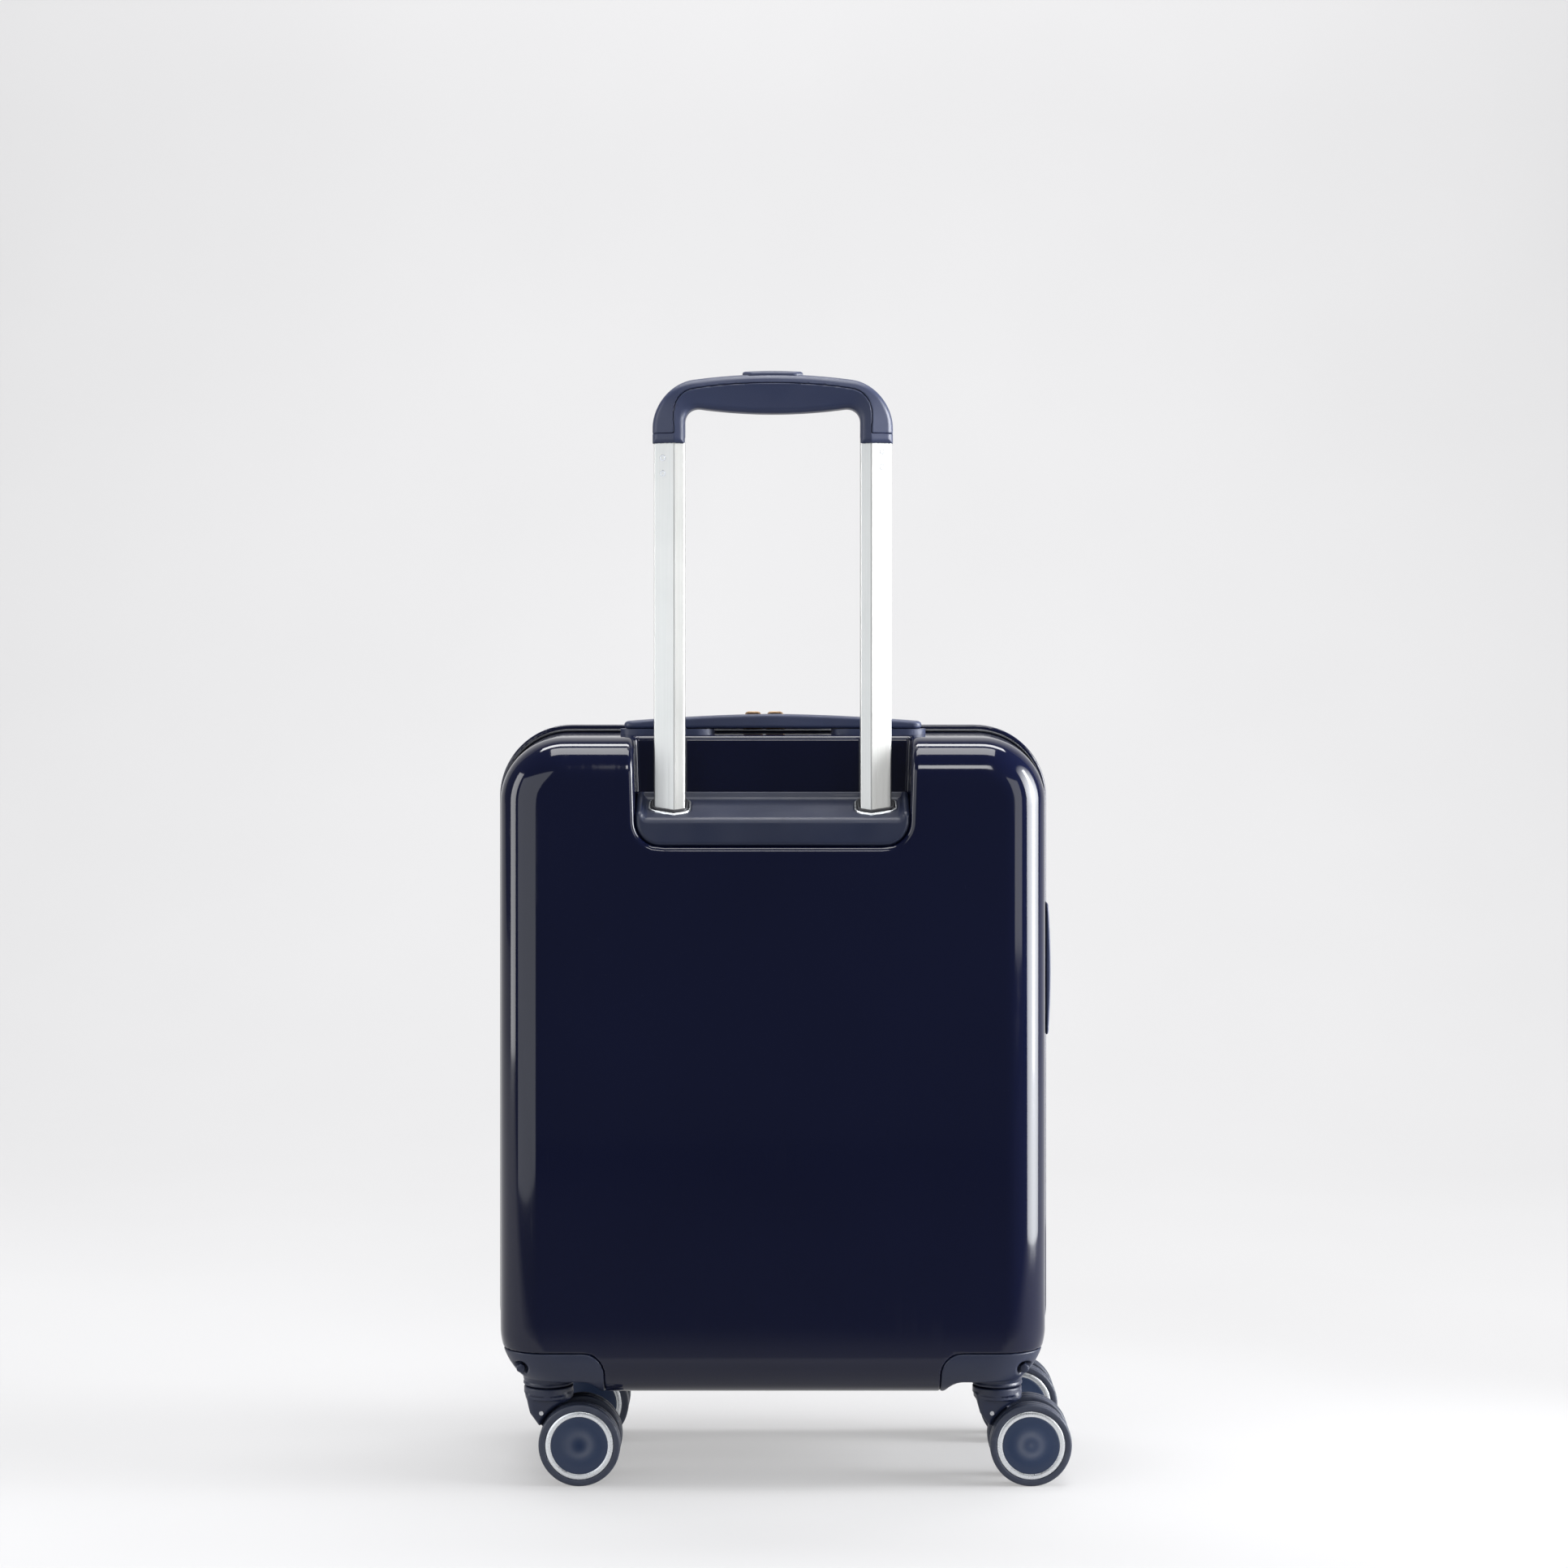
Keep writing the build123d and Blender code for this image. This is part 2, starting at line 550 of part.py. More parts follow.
# Top carry handle: a low arch with a peg at each end, which slides up out of its sockets.
with BuildPart() as carry_handle:
    with BuildSketch(backward(CARRY_Y + CARRY_HALF_WIDTH)):
        with BuildLine():
            ThreePointArc(
                (-CARRY_HALF_LENGTH, CARRY_END_TOP), (0, CARRY_CROWN), (CARRY_HALF_LENGTH, CARRY_END_TOP)
            )
            Polyline(
                (CARRY_HALF_LENGTH, CARRY_END_TOP), (CARRY_HALF_LENGTH, CARRY_END_UNDER),
                (42, CARRY_MIDDLE_UNDER), (-42, CARRY_MIDDLE_UNDER),
                (-CARRY_HALF_LENGTH, CARRY_END_UNDER), (-CARRY_HALF_LENGTH, CARRY_END_TOP),
            )
        make_face()
    extrude(amount=2 * CARRY_HALF_WIDTH)
    fillet(carry_handle.edges().filter_by(Axis.Z), radius=8)
    with BuildSketch(level(CARRY_PEG_BOTTOM)):
        with Locations((-CARRY_PEG_X, CARRY_Y), (CARRY_PEG_X, CARRY_Y)):
            Circle(CARRY_PEG_RADIUS)
    extrude(amount=CARRY_MIDDLE_UNDER + 2 - CARRY_PEG_BOTTOM)
save(carry_handle.part, "carry_handle")

with BuildPart() as carry_handle_bases:
    with BuildSketch(level(SHELL_TOP - 1.2)):
        with Locations((-76, CARRY_Y), (76, CARRY_Y)):
            SlotOverall(68, 28)
    extrude(amount=4)
    with BuildSketch(level(CARRY_SOCKET_BOTTOM)):
        with Locations((-CARRY_PEG_X, CARRY_Y), (CARRY_PEG_X, CARRY_Y)):
            Circle(CARRY_SOCKET_RADIUS)
    extrude(amount=SHELL_TOP - 1.2 - CARRY_SOCKET_BOTTOM)
    with BuildSketch(level(CARRY_SOCKET_BOTTOM + 3)):
        with Locations((-CARRY_PEG_X, CARRY_Y), (CARRY_PEG_X, CARRY_Y)):
            Circle(CARRY_PEG_RADIUS + RUNNING_CLEARANCE)
    extrude(amount=50, mode=Mode.SUBTRACT)
    add(back_shell.part, mode=Mode.SUBTRACT)
save(carry_handle_bases.part, "carry_handle_bases")

# Side carry handle on the right wall.
with BuildPart() as side_handle:
    with BuildSketch(backward(CARRY_Y + SIDE_HANDLE_HALF_WIDTH)):
        with BuildLine():
            low, high = SIDE_HANDLE_Z - SIDE_HANDLE_HALF, SIDE_HANDLE_Z + SIDE_HANDLE_HALF
            ThreePointArc((SIDE_HANDLE_END_X, low), (SIDE_HANDLE_CROWN_X, SIDE_HANDLE_Z), (SIDE_HANDLE_END_X, high))
            Polyline(
                (SIDE_HANDLE_END_X, high), (SIDE_HANDLE_INNER_X, high),
                (SIDE_HANDLE_INNER_X, low), (SIDE_HANDLE_END_X, low),
            )
        make_face()
    extrude(amount=2 * SIDE_HANDLE_HALF_WIDTH)
    with BuildSketch(sideways(SIDE_PEG_INNER_X)):
        for end in SIDES:
            with Locations((CARRY_Y, SIDE_HANDLE_Z + end * SIDE_PEG_OFFSET)):
                Circle(SIDE_PEG_RADIUS)
    extrude(amount=SIDE_HANDLE_INNER_X + 0.4 - SIDE_PEG_INNER_X)
save(side_handle.part, "side_handle")

with BuildPart() as side_handle_bases:
    with BuildSketch(sideways(SIDE_SOCKET_INNER_X)):
        for end in SIDES:
            with Locations((CARRY_Y, SIDE_HANDLE_Z + end * SIDE_PEG_OFFSET)):
                Circle(SIDE_SOCKET_RADIUS)
    extrude(amount=12)
    with BuildSketch(sideways(SIDE_SOCKET_INNER_X + 1.5)):
        for end in SIDES:
            with Locations((CARRY_Y, SIDE_HANDLE_Z + end * SIDE_PEG_OFFSET)):
                Circle(SIDE_PEG_RADIUS + RUNNING_CLEARANCE)
    extrude(amount=20, mode=Mode.SUBTRACT)
save(side_handle_bases.part, "side_handle_bases")

# Wheel housings, their kingpins and bolts: one of each in every bottom corner.
for end, half, solid, space in (
    (-1, "back", back_solid, half_block(backward(BACK_EDGE), BACK_EDGE - BACK_FACE, HOUSING_WALL)),
    (1, "front", front_solid, half_block(forward(FRONT_EDGE), FRONT_FACE - FRONT_EDGE, HOUSING_WALL)),
):
    outward = backward if end < 0 else forward
    for side, word in ((-1, "left"), (1, "right")):
        flip = side if end < 0 else -side
        hollow = space & corner_block(side, end, -HOUSING_WALL)
        hollow = split(hollow, bisect_by=level(ARCH_Z + HOUSING_WALL), keep=Keep.TOP)
        with BuildPart() as housing:
            add(solid)
            add(corner_block(side, end, 0), mode=Mode.INTERSECT)
            add(hollow, mode=Mode.SUBTRACT)
            with BuildSketch(outward(end * 15)):
                with Locations((flip * (ARCH_X + 35), ARCH_Z - 15)):
                    RectangleRounded(70, 30, ARCH_CORNER)
            extrude(amount=100, mode=Mode.SUBTRACT)
            with BuildSketch(level(NECK_BOTTOM)):
                with Locations((side * SWIVEL_X, end * SWIVEL_Y)):
                    Circle(NECK_RADIUS)
            extrude(amount=ARCH_Z - NECK_BOTTOM + 1)
            with BuildSketch(level(ARCH_Z)):
                with Locations((side * SWIVEL_X, end * SWIVEL_Y)):
                    Circle(PIN_BOSS_RADIUS)
            extrude(amount=HOUSING_TOP - 2 - ARCH_Z)
            with BuildSketch(level(NECK_BOTTOM - 1)):
                with Locations((side * SWIVEL_X, end * SWIVEL_Y)):
                    Circle(KINGPIN_RADIUS)
            extrude(amount=KINGPIN_TOP - NECK_BOTTOM + 1, mode=Mode.SUBTRACT)
            # bolt dish, post and hole
            with BuildSketch(outward(end * (HOUSING_NEAR_Y + 1))):
                with Locations((flip * BOLT_X, BOLT_Z)):
                    Circle(BOLT_HEAD_RADIUS)
            extrude(amount=BOLT_HEAD_Y - HOUSING_NEAR_Y - 4)
            with BuildSketch(outward(end * (BOLT_HEAD_Y - 1.5))):
                with Locations((flip * BOLT_X, BOLT_Z)):
                    Circle(DISH_RADIUS)
            extrude(amount=20, mode=Mode.SUBTRACT)
            with BuildSketch(outward(end * 10)):
                with Locations((flip * BOLT_X, BOLT_Z)):
                    Circle(BOLT_RADIUS)
            extrude(amount=90, mode=Mode.SUBTRACT)
        save(housing.part, f"housing_{half}_{word}")

    with BuildPart() as kingpins:
        with BuildSketch(level(KINGPIN_BOTTOM)):
            with Locations((-SWIVEL_X, end * SWIVEL_Y), (SWIVEL_X, end * SWIVEL_Y)):
                Circle(KINGPIN_RADIUS)
        extrude(amount=KINGPIN_TOP - KINGPIN_BOTTOM)
        with BuildSketch(level(GROOVE_BOTTOM)):
            with Locations((-SWIVEL_X, end * SWIVEL_Y), (SWIVEL_X, end * SWIVEL_Y)):
                Circle(KINGPIN_RADIUS + 1)
                Circle(GROOVE_RADIUS, mode=Mode.SUBTRACT)
        extrude(amount=GROOVE_HEIGHT, mode=Mode.SUBTRACT)
    save(kingpins.part, f"{half}_kingpins")

    with BuildPart() as bolts:
        with BuildSketch(outward(end * (HOUSING_NEAR_Y - WALL))):
            with Locations((-BOLT_X, BOLT_Z), (BOLT_X, BOLT_Z)):
                Circle(BOLT_RADIUS)
        extrude(amount=BOLT_HEAD_Y - 1.5 - HOUSING_NEAR_Y + WALL)
        with BuildSketch(outward(end * (BOLT_HEAD_Y - 1.5))):
            with Locations((-BOLT_X, BOLT_Z), (BOLT_X, BOLT_Z)):
                Circle(BOLT_HEAD_RADIUS)
        extrude(amount=BOLT_HEAD_HEIGHT)
        fillet(bolts.edges().filter_by(GeomType.CIRCLE).group_by(Axis.Y)[0 if end < 0 else -1], radius=1.4)
    save(bolts.part, f"{half}_housing_bolts")

# Casters: a fork that swivels on its kingpin, and two wheels pressed on one axle that turns in the fork.
for end, half in ((-1, "back"), (1, "front")):
    for side, word in ((-1, "left"), (1, "right")):
        swivel_x, swivel_y = side * SWIVEL_X, end * SWIVEL_Y
        axle_x = swivel_x + TRAIL
        corner = f"{half}_{word}"

        with BuildPart() as fork:
            with BuildSketch(level(DISC_BOTTOM)):
                with Locations((swivel_x, swivel_y)):
                    Circle(DISC_RADIUS)
            extrude(amount=DISC_TOP - DISC_BOTTOM)
            with BuildSketch(backward(swivel_y + FORK_HALF_WIDTH)):
                with BuildLine():
                    Polyline(
                        (swivel_x - 16.5, 63), (swivel_x - 12.5, 50), (swivel_x - 5.7, 41),
                        (swivel_x + 2, 41), (swivel_x + 2, 50), (swivel_x + 16.5, 63), close=True,
                    )
                make_face()
                with Locations((axle_x, WHEEL_RADIUS)):
                    Circle(WHEEL_RADIUS + 1.5, mode=Mode.SUBTRACT)
            extrude(amount=2 * FORK_HALF_WIDTH)
            with BuildSketch(backward(swivel_y + WHEEL_INNER - 1)):
                with BuildLine():
                    Polyline(
                        (swivel_x - 16.5, 63), (swivel_x - 12.5, 50), (swivel_x - 5.7, 41),
                        (axle_x - 7, WHEEL_RADIUS - 6), (axle_x + 8, WHEEL_RADIUS - 2),
                        (axle_x + 8, 50), (swivel_x + 16.5, 63), close=True,
                    )
                make_face()
                with Locations((axle_x, WHEEL_RADIUS)):
                    Circle(AXLE_BOSS_RADIUS)
            extrude(amount=2 * (WHEEL_INNER - 1))
            with BuildSketch(level(KINGPIN_BOTTOM - 0.5)):
                with Locations((swivel_x, swivel_y)):
                    Circle(KINGPIN_RADIUS + RUNNING_CLEARANCE)
            extrude(amount=30, mode=Mode.SUBTRACT)
            with BuildSketch(backward(swivel_y + 15)):
                with Locations((swivel_x + FORK_PIN_X, FORK_PIN_Z)):
                    Circle(FORK_PIN_RADIUS)
                with Locations((axle_x, WHEEL_RADIUS)):
                    Circle(AXLE_RADIUS + RUNNING_CLEARANCE)
            extrude(amount=30, mode=Mode.SUBTRACT)
        save(fork.part, f"fork_{corner}")

        with BuildPart() as fork_pin:
            with BuildSketch(backward(swivel_y + FORK_HALF_WIDTH + 0.4)):
                with Locations((swivel_x + FORK_PIN_X, FORK_PIN_Z)):
                    Circle(FORK_PIN_RADIUS)
            extrude(amount=2 * (FORK_HALF_WIDTH + 0.4))
        save(fork_pin.part, f"fork_pin_{corner}")

        with BuildPart() as axle:
            with BuildSketch(backward(swivel_y + AXLE_HALF_LENGTH)):
                with Locations((axle_x, WHEEL_RADIUS)):
                    Circle(AXLE_RADIUS)
            extrude(amount=2 * AXLE_HALF_LENGTH)
        save(axle.part, f"axle_{corner}")

        # One wheel's rings are drawn as a half section and revolved about the axle.
        turning_axis = Axis((CASE_X + axle_x, 0, WHEEL_RADIUS), (0, 1, 0))
        with BuildPart() as tyres:
            for hand in SIDES:
                with BuildSketch(sideways(axle_x)):
                    with Locations((swivel_y + hand * (WHEEL_INNER + WHEEL_OUTER) / 2,
                                    WHEEL_RADIUS + (HUB_RADIUS + WHEEL_RADIUS) / 2)):
                        RectangleRounded(WHEEL_OUTER - WHEEL_INNER, WHEEL_RADIUS - HUB_RADIUS, 2)
                revolve(axis=turning_axis)
        save(tyres.part, f"tyres_{corner}")

        with BuildPart() as hubs:
            for hand in SIDES:
                inner, outer = swivel_y + hand * (WHEEL_INNER + 0.6), swivel_y + hand * (WHEEL_OUTER - 0.4)
                groove = outer - hand * 1.2
                with BuildSketch(sideways(axle_x)):
                    with BuildLine():
                        Polyline(
                            (swivel_y + hand * WHEEL_INNER, WHEEL_RADIUS + AXLE_RADIUS),
                            (swivel_y + hand * AXLE_HALF_LENGTH, WHEEL_RADIUS + AXLE_RADIUS),
                            (swivel_y + hand * AXLE_HALF_LENGTH, WHEEL_RADIUS),
                            (outer, WHEEL_RADIUS),
                            (outer, WHEEL_RADIUS + RING_INNER),
                            (groove, WHEEL_RADIUS + RING_INNER),
                            (groove, WHEEL_RADIUS + RING_OUTER),
                            (outer - hand * 0.4, WHEEL_RADIUS + RING_OUTER),
                            (outer - hand * 0.4, WHEEL_RADIUS + HUB_RADIUS),
                            (inner, WHEEL_RADIUS + HUB_RADIUS),
                            (inner, WHEEL_RADIUS + AXLE_BOSS_RADIUS),
                            (swivel_y + hand * WHEEL_INNER, WHEEL_RADIUS + AXLE_BOSS_RADIUS),
                            close=True,
                        )
                    make_face()
                revolve(axis=turning_axis)
        save(hubs.part, f"hubs_{corner}")

        with BuildPart() as rings:
            for hand in SIDES:
                outer = swivel_y + hand * (WHEEL_OUTER - 0.4)
                with BuildSketch(sideways(axle_x)):
                    with Locations((outer - hand * 0.4, WHEEL_RADIUS + (RING_INNER + RING_OUTER) / 2)):
                        Rectangle(1.6, RING_OUTER - RING_INNER)
                revolve(axis=turning_axis)
        save(rings.part, f"wheel_rings_{corner}")
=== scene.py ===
# %% [markdown]
# # A hard shell suitcase on four casters
# The moving frame of this case was designed in CAD: shells, tubes, casters and joints. This lesson gives
# it its visible surfaces and finishes. Each new piece is worked out with numpy in millimetres from the
# case's middle plane, and one helper turns that into metres in the frame's own place.

# %% Load the frame
import json
import bpy
import numpy as np
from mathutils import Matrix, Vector


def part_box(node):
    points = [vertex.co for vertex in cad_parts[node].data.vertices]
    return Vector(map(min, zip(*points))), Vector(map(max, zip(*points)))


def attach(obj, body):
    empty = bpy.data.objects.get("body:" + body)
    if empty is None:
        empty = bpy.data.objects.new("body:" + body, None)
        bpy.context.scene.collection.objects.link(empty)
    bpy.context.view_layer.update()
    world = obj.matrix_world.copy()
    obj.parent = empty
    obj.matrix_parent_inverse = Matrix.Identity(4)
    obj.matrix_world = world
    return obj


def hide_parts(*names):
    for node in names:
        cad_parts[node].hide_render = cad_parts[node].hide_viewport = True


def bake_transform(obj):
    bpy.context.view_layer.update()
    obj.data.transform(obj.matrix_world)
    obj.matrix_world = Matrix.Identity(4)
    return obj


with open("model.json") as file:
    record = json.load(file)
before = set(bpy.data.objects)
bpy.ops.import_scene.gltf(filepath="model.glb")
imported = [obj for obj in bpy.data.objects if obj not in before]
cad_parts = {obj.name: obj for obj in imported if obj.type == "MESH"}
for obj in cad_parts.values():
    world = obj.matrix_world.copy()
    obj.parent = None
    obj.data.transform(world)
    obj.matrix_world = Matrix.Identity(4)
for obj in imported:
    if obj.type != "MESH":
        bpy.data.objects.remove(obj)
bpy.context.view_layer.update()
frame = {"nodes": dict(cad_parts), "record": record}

MM = 0.001
rim_low, rim_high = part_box("rim_bead")
CASE_X = (rim_low.x + rim_high.x) / 2
RIM_HALF_WIDTH = (rim_high.x - rim_low.x) / 2 / MM
RIM_BOTTOM, RIM_TOP = rim_low.z / MM, rim_high.z / MM
FRONT_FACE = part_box("front_shell")[1].y / MM
BACK_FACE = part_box("back_shell")[0].y / MM
CASE_Z = (RIM_TOP + RIM_BOTTOM) / 2
print("case middle", round(CASE_X, 4), "rim", RIM_HALF_WIDTH, RIM_BOTTOM, RIM_TOP)

# %% [markdown]
# ## Camera
# A product picture of luggage is taken from well back with a long lens. The camera is level, so that
# upright edges stay parallel, and the lens is shifted down to bring the whole case into the frame.

# %% Camera
CAMERA_PLACE = (CASE_X + 0.008, -2.32, 0.6095)
LENS_SHIFT = -0.101
LENS = 72.67

camera = bpy.data.objects.new("camera", bpy.data.cameras.new("camera"))
camera.data.lens = LENS
camera.data.sensor_width = 36
camera.location = CAMERA_PLACE
camera.rotation_euler = (np.radians(90), 0, 0)
camera.data.shift_y = LENS_SHIFT
bpy.context.scene.collection.objects.link(camera)
bpy.context.scene.camera = camera
print("camera at", CAMERA_PLACE, "lens", LENS)

# %% [markdown]
# ## Studio
# Dark gloss plastic shows its surroundings more than its own colour. So the light comes from a few soft
# boxes whose reflections draw the rounded edges, and the space behind the camera stays dark, which keeps
# the flat back face deep. The floor and the backdrop are one sheet that curves up behind the case.

# %% Floor and backdrop
def grid_faces(rows, columns, wrap_rows=False, wrap_columns=False):
    """Quads between neighbours of a rows by columns grid of points, joined round where a direction wraps."""
    i = np.arange(rows if wrap_rows else rows - 1)[:, None]
    j = np.arange(columns if wrap_columns else columns - 1)[None, :]
    down, along = (i + 1) % rows, (j + 1) % columns
    corners = [i * columns + j, down * columns + j, down * columns + along, i * columns + along]
    return np.stack([np.broadcast_to(c, (i.size, j.size)) for c in corners], -1).reshape(-1, 4)


def new_mesh(name, points, faces, normals=None):
    """An object at the origin whose mesh holds these points, in metres, and these faces, shaded smooth."""
    mesh = bpy.data.meshes.new(name)
    mesh.from_pydata(np.asarray(points, float).tolist(), [], np.asarray(faces).tolist())
    mesh.polygons.foreach_set("use_smooth", np.ones(len(mesh.polygons), bool))
    mesh.update()
    if normals is not None:
        mesh.normals_split_custom_set_from_vertices(np.asarray(normals, float).tolist())
    piece = bpy.data.objects.new(name, mesh)
    bpy.context.scene.collection.objects.link(piece)
    return piece


COVE_START, COVE_RADIUS, STAGE_HALF_WIDTH, STAGE_NEAR, STAGE_TOP = 1.2, 1.4, 4.0, -1.6, 5.0
angle = np.linspace(0, np.pi / 2, 25)
cove_y = np.concatenate([[STAGE_NEAR], COVE_START + COVE_RADIUS * np.sin(angle), [COVE_START + COVE_RADIUS]])
cove_z = np.concatenate([[0], COVE_RADIUS * (1 - np.cos(angle)), [STAGE_TOP]])
across = np.array([-STAGE_HALF_WIDTH, STAGE_HALF_WIDTH])
stage_points = np.stack(np.broadcast_arrays(across[:, None], cove_y[None, :], cove_z[None, :]), -1)
backdrop = new_mesh("studio_sheet", stage_points.reshape(-1, 3), grid_faces(2, len(cove_y)))
print("backdrop of", len(backdrop.data.polygons), "strips")

# %% Lights
def soft_box(name, place, target, size, power, colour=(1, 1, 1)):
    """A rectangular soft light at a place, turned to face a target."""
    light = bpy.data.lights.new(name, "AREA")
    light.shape = "RECTANGLE"
    light.size, light.size_y = size
    light.energy = power
    light.color = colour
    lamp = bpy.data.objects.new(name, light)
    lamp.location = place
    lamp.rotation_euler = (Vector(target) - Vector(place)).to_track_quat("-Z", "Y").to_euler()
    bpy.context.scene.collection.objects.link(lamp)
    return lamp


soft_box("left_box", (-2.3, -0.35, 0.75), (0, 0.0, 0.35), (0.7, 1.9), 26)
soft_box("right_strip", (2.2, -0.15, 0.75), (0, 0.0, 0.35), (0.35, 2.1), 42)
soft_box("top_box", (0.0, -0.3, 2.6), (0, 0.0, 0.4), (1.7, 0.9), 42)
soft_box("handle_light", (0.3, -2.6, 2.2), (0, 0.0, 0.7), (1.0, 0.5), 20)
soft_box("right_panel", (1.75, -2.15, 0.8), (0, -0.1, 0.6), (1.0, 1.4), 13, (1.0, 1.0, 0.99))
soft_box("left_near", (-0.85, -0.95, 0.53), (0, 0.0, 0.5), (1.1, 1.05), 7, (0.94, 0.97, 1.0))
right_near = soft_box(
    "right_near", (0.76, -0.12, 0.52), (0.19, -0.05, 0.45), (0.5, 0.95), 5.8, (0.96, 0.98, 1.0)
)
right_near.data.spread = np.radians(70)
soft_box("backdrop_light", (0.0, 0.9, 3.4), (0, 2.6, 0.9), (3.4, 0.8), 132)

world = bpy.data.worlds.new("room")
bpy.context.scene.world = world
world.use_nodes = True
world.node_tree.nodes["Background"].inputs["Color"].default_value = (0.9, 0.93, 1.0, 1)
world.node_tree.nodes["Background"].inputs["Strength"].default_value = 0.15
bpy.context.scene.view_settings.view_transform = "Standard"

# %% [markdown]
# ## Shader arithmetic
# A material is a small program. Wrapping a socket in a class that knows +, * and > lets its maths be
# written as ordinary expressions, and every step then adds one Math node to the tree.

# %% Shader classes
class Wire:
    """One output socket of a shader tree. Arithmetic on it adds Math nodes."""

    def __init__(self, finish, socket):
        self.finish, self.socket = finish, socket

    def maths(self, operation, first, second):
        return self.finish.node("ShaderNodeMath", {"operation": operation}, {0: first, 1: second})

    def __add__(self, other):
        return self.maths("ADD", self, other)

    def __mul__(self, other):
        return self.maths("MULTIPLY", self, other)

    __radd__, __rmul__ = __add__, __mul__

    def __gt__(self, other):
        return self.maths("GREATER_THAN", self, other)


class Finish:
    """A material with one Principled shader, whose constant values are set on the shader's own sockets."""

    def __init__(self, name, **constants):
        self.material = bpy.data.materials.new(name)
        self.material.use_nodes = True
        self.tree = self.material.node_tree
        self.shader = self.tree.nodes["Principled BSDF"]
        for key, value in constants.items():
            self.set(key.replace("_", " ").title().replace("Ior", "IOR"), value)
        self.place = self.node("ShaderNodeTexCoord", output="Object")

    def node(self, kind, settings=None, inputs=None, output=0):
        """Add a node of a type: its settings first, then the values or wires of its sockets."""
        made = self.tree.nodes.new(kind)
        for key, value in (settings or {}).items():
            if key == "stops":
                while len(made.color_ramp.elements) < len(value):
                    made.color_ramp.elements.new(0.5)
                for element, (position, colour) in zip(made.color_ramp.elements, value):
                    element.position, element.color = position, colour
            else:
                setattr(made, key, value)
        for key, value in (inputs or {}).items():
            self.feed(made.inputs[key], value)
        return Wire(self, made.outputs[output])

    def feed(self, socket, value):
        if isinstance(value, Wire):
            self.tree.links.new(value.socket, socket)
        elif hasattr(value, "__len__") and socket.type == "RGBA":
            socket.default_value = (*value[:3], 1)
        else:
            socket.default_value = value

    def set(self, key, value):
        self.feed(self.shader.inputs[key], value)

    def noise(self, scale, detail=2.0, stretch=(1, 1, 1)):
        """Cloudy noise over the object's own coordinates, from 0 to 1. scale is in patches per metre."""
        place = self.node("ShaderNodeMapping", inputs={"Vector": self.place, "Scale": stretch})
        return self.node("ShaderNodeTexNoise", inputs={"Vector": place, "Scale": scale, "Detail": detail})

    def mix(self, amount, first, second):
        """A colour between first and second."""
        settings = {"data_type": "RGBA"}
        return self.node("ShaderNodeMix", settings, {0: amount, 6: first, 7: second}, output=2)

    def between(self, value, low, high, to_low=0.0, to_high=1.0):
        """value moved from the range low..high to to_low..to_high, and kept inside it."""
        ends = {0: value, 1: low, 2: high, 3: to_low, 4: to_high}
        return self.node("ShaderNodeMapRange", {"clamp": True}, ends)

    def bump(self, height, distance, strength):
        """Fine relief: height from 0 to 1 stands for distance metres."""
        values = {"Height": height, "Distance": distance, "Strength": strength}
        self.set("Normal", self.node("ShaderNodeBump", inputs=values))


FINISHES = {}
print("shader classes ready")

# %% [markdown]
# ## Studio paper
# The paper is pale and is given a painted glow: its emission is painted light that keeps the shadow under
# the case open. Towards the camera it is covered with black cloth, because a glossy upright face mirrors
# the floor before it.

# %% Studio paper finish
def studio_paper():
    # Painted light: the pale paper glows by emission, which lifts the shadow under the case; the black cloth
    # does not glow.
    finish = Finish("studio_paper", roughness=0.9, emission_strength=0.36)
    depth = finish.node("ShaderNodeSeparateXYZ", inputs={0: finish.place}, output=1)
    shade = finish.between(depth, -0.62, -0.42)
    cloud = finish.noise(3, 2)
    pale = finish.mix(cloud, (0.24, 0.24, 0.245), (0.26, 0.26, 0.265))
    finish.set("Base Color", finish.mix(shade, (0.05, 0.05, 0.052), pale))
    finish.set("Emission Color", finish.mix(shade, (0, 0, 0), (1.0, 0.99, 0.985)))
    return finish.material


backdrop.data.materials.append(studio_paper())
print("paper on", backdrop.name)

# %% [markdown]
# ## Gloss shell plastic
# The shell is vacuum-formed polycarbonate in a very dark navy. Its clear top film gives a sharp
# reflection with a faint waviness, and handling leaves hairline scratches and a little dust that show
# only as roughness.

# %% Gloss shell finish
def gloss_shell():
    finish = Finish("gloss_shell", coat_weight=0.15, coat_roughness=0.04, ior=1.36)
    cloud = finish.noise(6, 3)
    hairs = finish.noise(260, 2, (1, 1, 0.02)) * finish.noise(35, 2)
    dust = finish.node("ShaderNodeTexVoronoi", {"feature": "F1"}, {"Vector": finish.place, "Scale": 420.0})
    speck = finish.between(dust, 0.03, 0.06, 1.0, 0.0) * (finish.noise(90, 1) > 0.66)
    base = finish.mix(cloud, (0.0021, 0.0032, 0.0135), (0.0031, 0.0044, 0.0185))
    finish.set("Base Color", finish.mix(speck * 0.35, base, (0.12, 0.13, 0.16)))
    finish.set("Roughness", finish.between(hairs, 0.30, 0.42, 0.07, 0.13) + speck * 0.4)
    finish.bump(finish.noise(28, 1), 0.00012, 0.35)
    return finish.material


FINISHES["gloss_shell"] = gloss_shell()
print("made", FINISHES["gloss_shell"].name)

# %% [markdown]
# ## Soft-touch plastic
# The grip, the tray, the wheel housings and the forks are moulded in navy plastic with a spark-eroded
# grain. The grain scatters the light, so edges read as soft bands, and hands polish the high spots a
# little.

